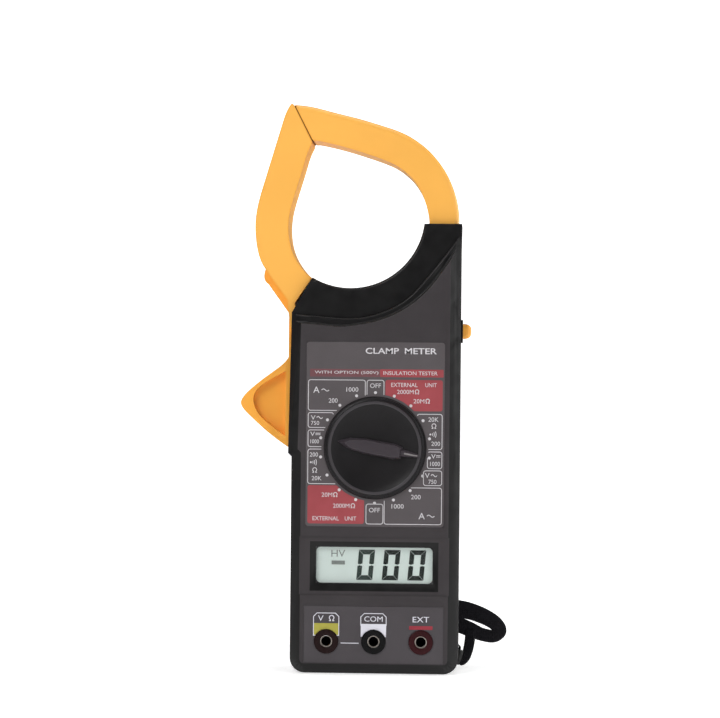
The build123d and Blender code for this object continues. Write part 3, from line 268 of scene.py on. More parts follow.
looks = {
    # the orange and trigger plastics darken towards their rounded edges: painted shade
    "orange_plastic": surface(
        "orange_plastic", srgb((251, 184, 84)), roughness=0.36, variation=0.03, grain=700,
        bump=0.05, specular=0.3, mottle=35, edge_wear_and_painted_light=0.75, rubbed_and_painted_light_colour=srgb((226, 132, 34)), coat=0.12,
        edge_wear_and_painted_light_radius=0.0014),
    "trigger_plastic": surface(
        "trigger_plastic", srgb((248, 172, 66)), roughness=0.38, variation=0.035, grain=700,
        bump=0.06, specular=0.3, mottle=35, edge_wear_and_painted_light=0.6, rubbed_and_painted_light_colour=srgb((236, 142, 44)), coat=0.1),
    # the cell glows faintly in its own colour: painted light
    "lcd_cell": surface(
        "lcd_cell", srgb((192, 203, 198)), roughness=0.55, variation=0.025, grain=500,
        bump=0.02, mottle=22, glow=0.22),
    "display_window": window_material(),
    "socket_sleeve": sleeve_material(),
    "webbing_black": woven_material("webbing_black", (0.0065, 0.006, 0.008)),
}
for name, (color, *finish, edge_wear_and_painted_light, rubbed_and_painted_light_colour) in CASE_AND_PRINT.items():
    looks[name] = surface(name, srgb(color), *finish, edge_wear_and_painted_light=edge_wear_and_painted_light, rubbed_and_painted_light_colour=srgb(rubbed_and_painted_light_colour or ()))
for name, (color, *finish, edge_wear_and_painted_light, rubbed_and_painted_light_colour, metal, coat) in INNER_PARTS.items():
    looks[name] = surface(name, color, *finish, edge_wear_and_painted_light=edge_wear_and_painted_light, rubbed_and_painted_light_colour=rubbed_and_painted_light_colour, metal=metal, coat=coat)


# -------------------------------------------------------------- placing meshes
def place(name, mesh, body, slot, sharp_angle=None, replaces=False):
    """Show a mesh as part of a body; it may take the place of the CAD piece in its slot."""
    shown = bpy.data.objects.new(name, mesh)
    bpy.context.scene.collection.objects.link(shown)
    if sharp_angle is not None:
        mesh.shade_smooth()
        mesh.set_sharp_from_angle(angle=math.radians(sharp_angle))
    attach(shown, body)
    if replaces:
        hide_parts(slot)
    return shown


def add(name, bm, materials, body, slot, sharp_angle=None, replaces=False):
    """Turn a bmesh into a placed object; materials are names in looks, parted by spaces."""
    mesh = bpy.data.meshes.new(name)
    for material in materials.split():
        mesh.materials.append(looks[material])
    bmesh.ops.recalc_face_normals(bm, faces=bm.faces)
    bm.to_mesh(mesh)
    bm.free()
    place(name, mesh, body, slot, sharp_angle, replaces)


def evaluated_mesh(source, keep_layers=False):
    graph = bpy.context.evaluated_depsgraph_get()
    return bpy.data.meshes.new_from_object(
        source.evaluated_get(graph), preserve_all_data_layers=keep_layers, depsgraph=graph)


def even_normals(shown):
    """Weight normals by face area, so that flats read flat beside their rounded edges."""
    weighting = shown.modifiers.new("n", "WEIGHTED_NORMAL")
    weighting.keep_sharp = True
    weighting.weight = 90
    mesh = evaluated_mesh(shown, keep_layers=True)
    shown.modifiers.remove(weighting)
    old = shown.data
    shown.data = mesh
    mesh.name = old.name
    bpy.data.meshes.remove(old)


def body_of(node):
    bodies = frame["record"]["behaviour"]["bodies"]
    return next((body for body, nodes in bodies.items() if node in nodes), "case")


def finished_copy(node, *materials, rounding=0.0, segments=2, angle=32.0, zone=None):
    """Shown copy of a CAD piece, cleaned and with its sharp edges rounded (mm).

    zone picks the material number of each face.
    """
    bm = bmesh.new()
    bm.from_mesh(frame["nodes"][node].data)
    bmesh.ops.remove_doubles(bm, verts=bm.verts, dist=1e-6)
    bmesh.ops.dissolve_limit(bm, angle_limit=math.radians(0.6), verts=bm.verts, edges=bm.edges)
    cleaned = bpy.data.meshes.new(node + "_fin")
    bm.to_mesh(cleaned)
    bm.free()
    carrier = bpy.data.objects.new("tmp", cleaned)
    bpy.context.scene.collection.objects.link(carrier)
    if rounding:
        bevel = carrier.modifiers.new("b", "BEVEL")
        bevel.width = rounding * MM
        bevel.segments = segments
        bevel.limit_method = "ANGLE"
        bevel.angle_limit = math.radians(angle)
        bevel.miter_outer = "MITER_ARC"
    mesh = evaluated_mesh(carrier)
    bpy.data.objects.remove(carrier)
    mesh.name = node + "_fin"
    mesh.materials.clear()
    for material in materials:
        mesh.materials.append(looks[material])
    bm = bmesh.new()
    bm.from_mesh(mesh)
    if rounding:
        many_sided = [f for f in bm.faces if len(f.verts) > 4]
        bmesh.ops.triangulate(bm, faces=many_sided, ngon_method="EAR_CLIP")
    if zone:
        for face in bm.faces:
            face.material_index = zone(face)
    bm.to_mesh(mesh)
    bm.free()
    even_normals(place(node + "_fin", mesh, body_of(node), node, 40, replaces=True))


# --------------------------------------------------------------- solid shapes
# Outlines and lines are lists of (x, z) in mm; depths are (front y, rear y) in mm.
def ring(bm, points):
    return [bm.verts.new([value * MM for value in point]) for point in points]


def bridge(bm, first, second):
    count = len(first)
    for i in range(count):
        j = (i + 1) % count
        bm.faces.new((first[i], first[j], second[j], second[i]))


def skin(bm, rings, closed=False):
    """Faces along a row of rings, joined end to start or capped at both ends."""
    for first, second in zip(rings, rings[1:]):
        bridge(bm, first, second)
    if closed:
        bridge(bm, rings[-1], rings[0])
    else:
        bm.faces.new(rings[0])
        bm.faces.new(rings[-1][::-1])


def prism(bm, front_outline, rear_outline, depths):
    """Solid between two outlines with equal point counts; gives back the front vertices."""
    front, rear = [ring(bm, [(x, y, z) for x, z in outline])
                   for outline, y in zip((front_outline, rear_outline), depths)]
    bm.faces.new(front)
    bm.faces.new(rear[::-1])
    count = len(front)
    for i in range(count):
        j = (i + 1) % count
        bm.faces.new((front[j], front[i], rear[i], rear[j]))
    return front


def slab(bm, outline, depths):
    prism(bm, outline, outline, depths)


def rounded_box(x0, x1, z0, z1, radius, steps=5):
    points = []
    corners = ((x1 - radius, z1 - radius, 0), (x0 + radius, z1 - radius, 90),
               (x0 + radius, z0 + radius, 180), (x1 - radius, z0 + radius, 270))
    for x, z, start in corners:
        for i in range(steps + 1):
            angle = math.radians(start + 90.0 * i / steps)
            points.append((x + radius * math.cos(angle), z + radius * math.sin(angle)))
    return points


def disc(x, z, radius, count=20):
    angles = [2 * math.pi * i / count for i in range(count)]
    return [(x + radius * math.cos(a), z + radius * math.sin(a)) for a in angles]


def ribbon(bm, line, width, depths, closed=False):
    """Stroke of even width along a line, mitred at its corners, as a thin solid."""
    front, rear = depths
    count = len(line)
    rings = []
    for i, (x, z) in enumerate(line):
        before = line[i - 1] if closed or i > 0 else line[i]
        after = line[(i + 1) % count] if closed or i < count - 1 else line[i]
        into = Vector((x - before[0], z - before[1]))
        out = Vector((after[0] - x, after[1] - z))
        if into.length < 1e-9:
            into = out.copy()
        if out.length < 1e-9:
            out = into.copy()
        into.normalize()
        out.normalize()
        along = into + out
        along = into.copy() if along.length < 1e-6 else along.normalized()
        reach = width / 2 / max(0.35, along.dot(into))
        shift_x, shift_z = -along.y * reach, along.x * reach
        left = (x + shift_x, z + shift_z)
        right = (x - shift_x, z - shift_z)
        section = ((left, front), (right, front), (right, rear), (left, rear))
        rings.append(ring(bm, [(side[0], y, side[1]) for side, y in section]))
    skin(bm, rings, closed)


def subdivided(outline, step=0.5):
    points = []
    for i, start in enumerate(outline):
        end = outline[(i + 1) % len(outline)]
        parts = max(1, int(math.dist(start, end) / step))
        for k in range(parts):
            points.append((start[0] + (end[0] - start[0]) * k / parts,
                           start[1] + (end[1] - start[1]) * k / parts))
    return points


def bitten(outline, centre, radius):
    """Outline pushed out of a circle, so that a print stops short of a round part."""
    pushed = []
    for point in subdivided(outline):
        distance = math.dist(point, centre)
        if distance < radius:
            point = tuple(c + (p - c) * radius / distance for p, c in zip(point, centre))
        pushed.append(point)
    kept = [pushed[0]]
    for point in pushed[1:]:
        if math.dist(point, kept[-1]) > 0.05:
            kept.append(point)
    return kept


def lettering(bm, text, x, z, width, height, depths, bold=0.0):
    """Text in the built-in font, stretched to a width and height about (x, z)."""
    curve = bpy.data.curves.new("t", "FONT")
    curve.body = text
    curve.extrude = 0.5
    curve.resolution_u = 3
    curve.offset = bold
    carrier = bpy.data.objects.new("t", curve)
    bpy.context.scene.collection.objects.link(carrier)
    mesh = evaluated_mesh(carrier)
    bpy.data.objects.remove(carrier)
    bpy.data.curves.remove(curve)
    across = [v.co.x for v in mesh.vertices]
    up = [v.co.y for v in mesh.vertices]
    scale_x = width / (max(across) - min(across))
    scale_z = height / (max(up) - min(up))
    mid_x = (max(across) + min(across)) / 2
    mid_up = (max(up) + min(up)) / 2
    front, rear = depths
    for v in mesh.vertices:
        v.co = ((x + (v.co.x - mid_x) * scale_x) * MM,
                ((front + rear) / 2 - v.co.z * (rear - front)) * MM,
                (z + (v.co.y - mid_up) * scale_z) * MM)
    welded = bmesh.new()
    welded.from_mesh(mesh)
    bmesh.ops.remove_doubles(welded, verts=welded.verts, dist=1e-7)
    welded.to_mesh(mesh)
    welded.free()
    bm.from_mesh(mesh)
    bpy.data.meshes.remove(mesh)


# -------------------------------------------------------------------- the case
panel_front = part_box("front_shell")[0].y


def panel_zone(face):
    """1 for the foremost flats of the front shell, 0 elsewhere."""
    foremost = face.calc_center_median().y < panel_front + 0.0006
    return 1 if face.normal.y < -0.9 and foremost else 0


finished_copy("front_shell", "case_black", "case_panel", zone=panel_zone)
finished_copy("rear_shell", "case_rear")
finished_copy("battery_door", "case_rear", rounding=0.3)
finished_copy("hold_bezel", "case_black")


def hold_button():
    """Cap with a flange at its inner end and a domed outer end towards +X."""
    (x_in, y0, z0), (x_out, y1, z1) = box_mm("hold_button")
    flange = 1.3
    dome = 2.4
    dome_steps = 10
    # x, half size in y, half size in z
    sections = [(x_in, 3.3, 4.0), (x_in + flange, 3.3, 4.0),
                (x_in + flange, 2.75, 3.3), (x_out - dome, 2.55, 3.05)]
    for i in range(1, dome_steps):
        turn = math.pi / 2 * i / dome_steps
        shrink = 0.25 + 0.75 * math.cos(turn)
        sections.append((x_out - dome + dome * math.sin(turn), 2.5 * shrink, 3.0 * shrink))

    def rounded_square(x, half_y, half_z, count=40, squareness=3.2):
        points = []
        for i in range(count):
            turn = 2 * math.pi * i / count
            y, z = [math.copysign(abs(c) ** (2 / squareness), c)
                    for c in (math.cos(turn), math.sin(turn))]
            points.append((x, (y0 + y1) / 2 + half_y * y, (z0 + z1) / 2 + half_z * z))
        return points

    bm = bmesh.new()
    skin(bm, [ring(bm, rounded_square(*section)) for section in sections])
    add("hold_button_cap", bm, "trigger_plastic", "button", "hold_button", 45, replaces=True)


hold_button()
for socket, look in (("v_ohm", "collar_dark_red"), ("com", "collar_black"),
                     ("ext", "collar_red")):
    finished_copy("jack_collar_" + socket, look, rounding=0.3, segments=3, angle=40)

# -------------------------------------------------------------------- the jaws
for node in ("fixed_jaw_front", "fixed_jaw_rear", "moving_jaw_front", "moving_jaw_rear"):
    finished_copy(node, "orange_plastic")
finished_copy("jaw_trigger", "trigger_plastic")

# a dark brown slab fills the thin gap where the jaws meet, painted shade for the shadow in the
# gap: x, z from the jaw's low x and top
GAP_SHADE_OUTLINE = [(0.1, -0.28), (7.1, -13.95), (7.55, -14.45), (7.2, -14.9), (6.93, -14.3), (-0.02, -0.62)]
jaw_low, jaw_high = box_mm("fixed_jaw_front")
bm = bmesh.new()
slab(bm, [(jaw_low[0] + x, jaw_high[2] + z) for x, z in GAP_SHADE_OUTLINE], (-9.2, 9.2))
add("jaw_gap_shade_slab", bm, "jaw_gap_shade", "case", "fixed_jaw_front")

# -------------------------------------------------------------------- the knob
(knob_x0, knob_front, knob_z0), (knob_x1, knob_rear, knob_z1) = box_mm("selector_knob")
knob_x, knob_z = knob_centre = ((knob_x0 + knob_x1) / 2, (knob_z0 + knob_z1) / 2)
KNOB_TURN = -10.0                                      # degrees from the +X direction
KNOB_STEPS = 96
HUB_FRONT = 2.05                                       # y of the hub face behind the panel
# radius, depth behind the front of the bar
KNOB_PROFILE = [
    (0.0, 3.0), (6.0, 2.95), (11.0, 2.7), (14.8, 2.2), (16.9, 1.65), (17.6, 1.35),
    (17.95, 1.22), (18.4, 1.2), (18.75, 1.3), (18.95, 1.6), (19.1, 2.15), (19.5, 2.3),
    (19.95, 2.5), (20.15, 2.8), (20.2, 3.2), (20.2, 3.68), (7.95, 3.7)]
# x, z on the unturned knob
BAR_TOP = [(-12.4, 0.0), (-9.6, 1.6), (-4.0, 2.4), (7.4, 2.5), (10.2, 1.9),
           (10.2, -1.9), (7.4, -2.5), (-4.0, -2.4), (-9.6, -1.6)]
BAR_BASE = [(-16.4, 0.0), (-10.6, 2.3), (-4.2, 3.0), (7.8, 3.1), (11.2, 2.4),
            (11.2, -2.4), (7.8, -3.1), (-4.2, -3.0), (-10.6, -2.3)]
RIB_TOP = [(9.4, 0.9), (17.9, 0.4), (17.9, -0.4), (9.4, -0.9)]
RIB_BASE = [(9.0, 1.7), (18.0, 0.9), (18.0, -0.9), (9.0, -1.7)]
INDEX_LINE = [(12.0, -0.34), (17.4, -0.24), (17.4, 0.24), (12.0, 0.34)]


def knob_body():
    """Turned dish with a hub reaching into the case; the ring near its rim is a lighter grey, a
    painted highlight.
    """
    hub_y = panel_front / MM + HUB_FRONT
    profile = [(radius, knob_front + depth) for radius, depth in KNOB_PROFILE]
    profile += [(7.95, hub_y), (4.9, hub_y), (4.9, knob_rear), (0.0, knob_rear)]
    bm = bmesh.new()
    rings = []
    for radius, y in profile:
        circle = disc(knob_x, knob_z, radius, KNOB_STEPS) if radius else [knob_centre]
        rings.append(ring(bm, [(x, y, z) for x, z in circle]))
    for first, second in zip(rings, rings[1:]):
        if len(first) > 1 and len(second) > 1:
            bridge(bm, first, second)
            continue
        for i in range(KNOB_STEPS):
            j = (i + 1) % KNOB_STEPS
            if len(first) == 1:
                bm.faces.new((first[0], second[i], second[j]))
            else:
                bm.faces.new((first[i], first[j], second[0]))
    for face in bm.faces:
        x, y, z = [value / MM for value in face.calc_center_median()]
        # faces of the ring near the rim take the lighter grey: painted highlight
        on_ring = 17.5 < math.hypot(x - knob_x, z - knob_z) < 18.8
        face.material_index = 1 if on_ring and y < knob_front + 1.6 else 0
    add("selector_knob_body", bm, "knob_black knob_ring", "selector", "selector_knob", 40,
        replaces=True)


def on_knob(outline):
    """Outline turned with the knob and moved to its centre."""
    turn = math.radians(KNOB_TURN)
    return [(knob_x + x * math.cos(turn) - z * math.sin(turn),
             knob_z + x * math.sin(turn) + z * math.cos(turn)) for x, z in outline]


def knob_relief(name, top, base, top_depth, base_depth, rounding):
    """Raised form with sloped sides and a rounded top edge."""
    bm = bmesh.new()
    top_verts = set(prism(bm, on_knob(top), on_knob(base),
                          (knob_front + top_depth, knob_front + base_depth)))
    bmesh.ops.recalc_face_normals(bm, faces=bm.faces)
    bmesh.ops.bevel(bm, geom=[e for e in bm.edges if top_verts.issuperset(e.verts)],
                    offset=rounding * MM, segments=3, profile=0.6, affect="EDGES",
                    clamp_overlap=True)
    add(name, bm, "knob_bar", "selector", "selector_knob", 50)


knob_body()
knob_relief("selector_knob_bar", BAR_TOP, BAR_BASE,
            top_depth=0.02, base_depth=2.98, rounding=0.35)
knob_relief("selector_knob_rib", RIB_TOP, RIB_BASE,
            top_depth=0.9, base_depth=2.4, rounding=0.2)
bm = bmesh.new()
slab(bm, on_knob(INDEX_LINE), (knob_front + 0.8, knob_front + 1.05))
add("knob_index_line", bm, "knob_index", "selector", "knob_index_mark", replaces=True)


# ------------------------------------------------------------- printed symbols
def ac_wave(bm, x, z, width, depths):
    line = [(x - width / 2 + width * i / 12, z + 0.42 * math.sin(2 * math.pi * i / 12))
            for i in range(13)]
    ribbon(bm, line, 0.3, depths)


def dc_bars(bm, x, z, width, depths):
    """One long bar over three short ones."""
    slab(bm, rounded_box(x - width / 2, x + width / 2, z + 0.15, z + 0.43, 0.05, 1), depths)
    for i in (-1, 0, 1):
        middle = x + i * width * 0.36
        slab(bm, rounded_box(middle - width * 0.13, middle + width * 0.13,
                             z - 0.43, z - 0.15, 0.05, 1), depths)


def ohm_sign(bm, x, z, size, depths, stroke=0.3):
    """An open ring standing on two feet."""
    radius = size * 0.40
    ring_z = z + size * 0.10
    arc = [(x + radius * math.sin(math.radians(a)), ring_z + radius * math.cos(math.radians(a)))
           for a in range(-145, 146, 10)]
    foot = z - size / 2 + stroke / 2
    ribbon(bm, [(x - size * 0.46, foot), (x - size * 0.2, foot)] + arc
           + [(x + size * 0.2, foot), (x + size * 0.46, foot)], stroke, depths)


def buzzer_sign(bm, x, z, depths):
    """A dot and three arcs spreading to +X."""
    dot_x = x - 1.2
    slab(bm, disc(dot_x, z, 0.38, 12), depths)
    for radius in (0.9, 1.6, 2.3):
        ribbon(bm, [(dot_x + radius * math.cos(math.radians(a)),
                     z + radius * math.sin(math.radians(a))) for a in range(-32, 33, 8)],
               0.26, depths)


# --------------------------------------------------------------- dial printing
SYMBOLS = {"~": ac_wave, "=": dc_bars, "ohm": ohm_sign, "buzz": buzzer_sign}
POSITIONS = 18                                         # one dot for each switch position
PRINT_CLEARANCE = 21.4                                 # radius kept free of box lines
PATCH_CLEARANCE = 21.6                                 # the same for the red patches
# x0, x1, z0, z1 from the knob centre
DIAL_BOXES = [
    (-27.0, -4.1, 14.9, 27.2), (-3.4, 3.4, 20.0, 27.2), (16.9, 26.9, -0.4, 13.7),
    (21.1, 26.9, -8.1, -1.4), (19.6, 26.9, -14.9, -9.0), (3.9, 26.9, -30.6, -15.9),
    (-3.4, 3.4, -30.6, -22.6), (-27.0, -15.0, -14.6, -0.7), (-27.0, -19.9, 0.3, 7.0),
    (-27.0, -16.8, 8.0, 14.0)]
# text, x, z, width, height; or symbol, x, z, size (the buzzer sign has no size)
DIAL_TITLE = [("CLAMP", 2.6, 39.0, 13.4, 2.4), ("METER", 18.1, 39.0, 12.8, 2.4)]
DIAL_MARKS = [
    ("WITH OPTION (500V)", -11.7, 30.1, 25.6, 1.5), ("INSULATION TESTER", 14.0, 30.1, 21.8, 1.5),
    ("A", -23.8, 23.2, 2.5, 2.5), ("~", -20.2, 23.1, 3.0),
    ("1000", -9.3, 23.4, 4.8, 1.8), ("200", -17.0, 18.9, 3.6, 1.8),
    ("OFF", 0.0, 25.0, 4.4, 1.8), ("OFF", 0.0, -25.0, 4.4, 1.8),
    ("EXTERNAL", 11.6, 25.4, 10.6, 1.6), ("UNIT", 22.3, 25.4, 4.6, 1.6),
    ("2000M", 12.0, 22.6, 6.6, 1.7), ("ohm", 16.7, 22.6, 1.8),
    ("20M", 17.5, 18.9, 4.3, 1.7), ("ohm", 21.0, 18.9, 1.8),
    ("20K", 23.4, 11.6, 4.1, 1.8), ("ohm", 23.6, 8.9, 2.0), ("buzz", 23.4, 5.6),
    ("200", 24.4, 1.9, 3.5, 1.7),
    ("V", 23.5, -3.2, 1.7, 1.7), ("=", 25.5, -3.2, 1.7), ("1000", 24.2, -6.2, 3.9, 1.7),
    ("V", 21.1, -10.9, 1.8, 1.9), ("~", 23.8, -10.9, 2.4), ("750", 23.2, -13.4, 3.2, 1.7),
    ("200", 16.6, -19.6, 3.9, 1.8), ("1000", 9.3, -23.4, 4.9, 1.8),
    ("A", 19.0, -27.2, 2.5, 2.5), ("~", 22.6, -27.2, 3.0),
    ("EXTERNAL", -19.6, -28.5, 10.6, 1.6), ("UNIT", -9.6, -28.5, 4.6, 1.6),
    ("20M", -19.2, -19.0, 4.3, 1.7), ("ohm", -15.8, -19.0, 1.8),
    ("2000M", -13.4, -23.4, 6.6, 1.7), ("ohm", -8.7, -23.4, 1.8),
    ("200", -24.6, -2.9, 3.3, 1.7), ("buzz", -24.6, -6.0), ("ohm", -24.2, -9.2, 2.0),
    ("20K", -23.4, -12.4, 4.0, 1.7),
    ("V", -25.2, 5.4, 1.8, 1.7), ("=", -23.0, 5.4, 2.0), ("1000", -24.3, 2.4, 3.4, 1.6),
    ("V", -25.0, 12.0, 1.8, 1.7), ("~", -22.4, 12.0, 2.4), ("750", -24.2, 9.8, 3.3, 1.6)]


def dial_box(x0, x1, z0, z1, radius=0.9):
    return rounded_box(knob_x + x0, knob_x + x1, knob_z + z0, knob_z + z1, radius)


def box_line(bm, box, depths, width=0.26):
    """Outline of a box, broken where it would run under the knob."""
    points = subdivided(dial_box(*box), 0.4)
    clear = [math.dist(point, knob_centre) > PRINT_CLEARANCE for point in points]
    if all(clear):
        ribbon(bm, points, width, depths, closed=True)
        return
    count = len(points)
    start = next(i for i in range(count) if clear[i] and not clear[i - 1])
    run = []
    for i in range(count + 1):
        j = (start + i) % count
        if clear[j] and i < count:
            run.append(points[j])
        else:
            if len(run) > 2:
                ribbon(bm, run, width, depths)
            run = []


def dial_print():
    label_front = box_mm("face_label")[0][1]
    depths = (label_front - 0.05, label_front + 0.03)
    white = bmesh.new()
    for i in range(POSITIONS):
        angle = math.radians(90 - 360 / POSITIONS * i)
        slab(white, disc(knob_x + 22.2 * math.cos(angle), knob_z + 22.2 * math.sin(angle), 0.6),
             depths)
    for box in DIAL_BOXES:
        box_line(white, box, depths)
    for text, x, z, *size in DIAL_TITLE:
        lettering(white, text, knob_x + x, knob_z + z, *size, depths, bold=0.012)
    for mark, x, z, *size in DIAL_MARKS:
        spot = (knob_x + x, knob_z + z, *size, depths)
        if mark in SYMBOLS:
            SYMBOLS[mark](white, *spot)
        else:
            lettering(white, mark, *spot)
    add("dial_print_white", white, "print_white", "case", "face_label")

    # coloured patches lie just behind the white print
    depths = (label_front - 0.02, label_front + 0.05)
    red = bmesh.new()
    for box in ((4.0, 27.0, 14.9, 27.4), (-27.0, -4.2, -30.6, -15.2)):
        slab(red, bitten(dial_box(*box), knob_centre, PATCH_CLEARANCE), depths)
    slab(red, dial_box(1.8, 27.3, 28.5, 31.6, 0.3), depths)
    add("dial_print_red", red, "print_red", "case", "face_label")
    dim = bmesh.new()
    slab(dim, dial_box(-26.4, 1.7, 28.5, 31.6, 0.3), depths)
    add("dial_print_red_dim", dim, "print_red_dim", "case", "face_label")


dial_print()


# ------------------------------------------------------------- socket printing
def socket_centre(socket):
    (x0, _, z0), (x1, _, z1) = box_mm("jack_collar_" + socket)
    return (x0 + x1) / 2, (z0 + z1) / 2


def tab(x, z, low, high, width=10.2, chamfer=1.4):
    """Box above a socket centre with its two upper corners cut off."""
    x0, x1 = x - width / 2, x + width / 2
    return [(x0, z + low), (x1, z + low), (x1, z + high - chamfer), (x1 - chamfer, z + high),
            (x0 + chamfer, z + high), (x0, z + high - chamfer)]


def patch(x, z, half, low, high, collar=5.0):
    """Filled box above a socket centre, cut round the collar."""
    corners = [(x - half, z + low), (x + half, z + low),
               (x + half, z + high), (x - half, z + high)]
    return bitten(corners, (x, z), collar)


def socket_print():
    label_front = box_mm("jack_label")[0][1]
    depths = (label_front - 0.05, label_front + 0.03)
    fill_depths = (label_front - 0.04, label_front + 0.03)
    white, yellow, red = bmesh.new(), bmesh.new(), bmesh.new()

    x, z = volt_x, volt_z = socket_centre("v_ohm")
    ribbon(white, tab(x, z, 2.4, 11.4), 0.3, depths, closed=True)
    lettering(white, "V", x - 2.2, z + 9.3, 2.2, 2.2, depths)
    ohm_sign(white, x + 2.2, z + 9.3, 2.3, depths, stroke=0.34)
    slab(yellow, patch(x, z, 4.9, 2.6, 7.3), fill_depths)

    x, z = com_x, _ = socket_centre("com")
    ribbon(white, tab(x, z, 6.6, 11.4), 0.3, depths, closed=True)
    lettering(white, "COM", x, z + 9.2, 7.4, 2.1, depths)
    slab(white, patch(x, z, 5.1, 2.0, 7.2), fill_depths)

    x, z = socket_centre("ext")
    lettering(white, "EXT", x, z + 9.2, 6.6, 2.2, depths)
    slab(red, rounded_box(x - 4.7, x + 4.7, z + 5.1, z + 6.6, 0.15), fill_depths)

    # short bar between the first two sockets
    x = (volt_x + com_x) / 2
    slab(white, rounded_box(x - 3.6, x + 3.6, volt_z - 0.75, volt_z - 0.45, 0.05, 1), depths)
    add("socket_print_white", white, "print_tab_white", "case", "jack_label")
    add("socket_print_yellow", yellow, "print_yellow", "case", "jack_label")
    add("socket_print_red", red, "print_red_strong", "case", "jack_label")


socket_print()

# ----------------------------------------------------------------- the display
glass_front = box_mm("lcd_glass")[0][1]
(window_x0, _, window_z0), (window_x1, _, window_z1) = box_mm("lcd_window")
display_x, display_z = (window_x0 + window_x1) / 2, (window_z0 + window_z1) / 2
DIGIT_WIDTH, DIGIT_HEIGHT = 6.5, 12.2
DIGIT_PITCH = 10.3
STROKE = 1.9                                           # width of one digit segment
LEAN = 0.09                                            # sideways shift per mm of height


def display_mask():
    """Flat frame just in front of the glass, with rounded inner corners."""
    def inset(by, radius):
        return rounded_box(window_x0 + by, window_x1 - by, window_z0 + by, window_z1 - by,
                           radius, 6)

    outer, inner = inset(0.1, 0.05), inset(1.45, 1.9)
    front, rear = glass_front - 0.13, glass_front - 0.03
    bm = bmesh.new()
    loops = ((outer, front), (inner, front), (inner, rear), (outer, rear))
    skin(bm, [ring(bm, [(x, y, z) for x, z in outline]) for outline, y in loops], closed=True)
    add("display_mask", bm, "moulded_black", "case", "lcd_window")


def digit_zero(bm, x, z, depths):
    """The six outer segments of a seven-segment digit."""
    half_w, half_h, gap = DIGIT_WIDTH / 2, DIGIT_HEIGHT / 2, 0.07
    point, shoulder = 0.16, 0.5                        # pointed ends beside the middle
    in_w, in_h = half_w - STROKE, half_h - STROKE
    tip = half_w - STROKE * 0.4
    segments = [
        [(-half_w + gap, half_h), (half_w - gap, half_h), (in_w - gap, in_h), (gap - in_w, in_h)],
        [(half_w, half_h - gap), (half_w, shoulder), (tip, point), (in_w, shoulder),
         (in_w, in_h - gap)],
        [(half_w, -shoulder), (half_w, gap - half_h), (in_w, gap - in_h), (in_w, -shoulder),
         (tip, -point)],
        [(gap - in_w, -in_h), (in_w - gap, -in_h), (half_w - gap, -half_h),
         (gap - half_w, -half_h)],
        [(-half_w, -shoulder), (-tip, -point), (-in_w, -shoulder), (-in_w, gap - in_h),
         (-half_w, gap - half_h)],
        [(-half_w, half_h - gap), (-in_w, in_h - gap), (-in_w, shoulder), (-tip, point),
         (-half_w, shoulder)]]
    for segment in segments:
        slab(bm, [(x + u + LEAN * v, z + v) for u, v in segment], depths)


def display_print():
    depths = (glass_front - 0.07, glass_front + 0.02)
    dark, middle, pale = bmesh.new(), bmesh.new(), bmesh.new()
    for i, bm in enumerate((middle, dark, dark)):
        digit_zero(bm, display_x - 3.5 + DIGIT_PITCH * i, display_z + 0.1, depths)
    slab(pale, rounded_box(display_x - 17.3, display_x - 11.9,
                           display_z + 0.1, display_z + 1.7, 0.1, 1), depths)
    lettering(pale, "HV", display_x - 14.6, display_z + 4.6, 5.6, 2.8, depths)
    add("display_digits_dark", dark, "lcd_segment", "case", "lcd_glass")
    add("display_digit_mid", middle, "lcd_segment_mid", "case", "lcd_glass")
    add("display_flag_pale", pale, "lcd_segment_pale", "case", "lcd_glass")


display_mask()
display_print()

# ------------------------------------------------------------- the wrist strap
# distance towards -X from the strap's high-x end, height over its lower edge, width,
# and x, z of the width direction
STRAP_LOOP = [
    (71, 23.51, 6.2, 0, 1), (54, 23.71, 6.6, 0, 1), (34, 23.61, 7.0, 0, 1),
    (20, 22.81, 7.3, 0, 1), (12, 20.81, 6.8, 0.3, 1), (5.6, 17.61, 6.2, 0.8, 0.8),
    (2.8, 14.11, 5.4, 1, 0), (5.4, 11.71, 5.3, 0.5, -1), (10.6, 12.41, 5.4, -0.2, -1),
    (16.4, 14.81, 6.2, -0.3, -1), (23, 16.41, 6.6, 0, -1), (44, 16.71, 6.4, 0, -1),
    (64, 16.81, 6.2, 0, -1), (72.4, 17.81, 5.8, -0.4, -1), (75.2, 20.61, 5.6, -1, 0),
    (71, 23.51, 6.2, 0, 1)]
# x, y, z from the bead centre, width, and x, z of the width direction
STRAP_TAIL = [
    (4.91, 5.3, 10.78, 4.4, 1, 0), (4.71, 4.4, 6.98, 4.3, 1, 0.1), (4.11, 3, 3.38, 4.2, 1, 0.1),
    (3.11, 1.4, -0.02, 3.8, 1, -0.4), (1.71, 0.3, -1.92, 3.0, 0.6, -0.9),
    (0.41, 0, -2.32, 2.3, 0.2, -1)]


def smooth_line(points, steps=10):
    """Catmull-Rom line through the points."""
    P = [Vector(point) for point in points]
    P = [P[0] * 2 - P[1]] + P + [P[-1] * 2 - P[-2]]
    line = []
    for i in range(1, len(P) - 2):
        for k in range(steps):
            t = k / steps
            line.append(0.5 * (
                (2 * P[i]) + (P[i + 1] - P[i - 1]) * t
                + (2 * P[i - 1] - 5 * P[i] + 4 * P[i + 1] - P[i + 2]) * t * t
                + (3 * P[i] - P[i - 1] - 3 * P[i + 1] + P[i + 2]) * t * t * t))
    line.append(P[-2])
    return line


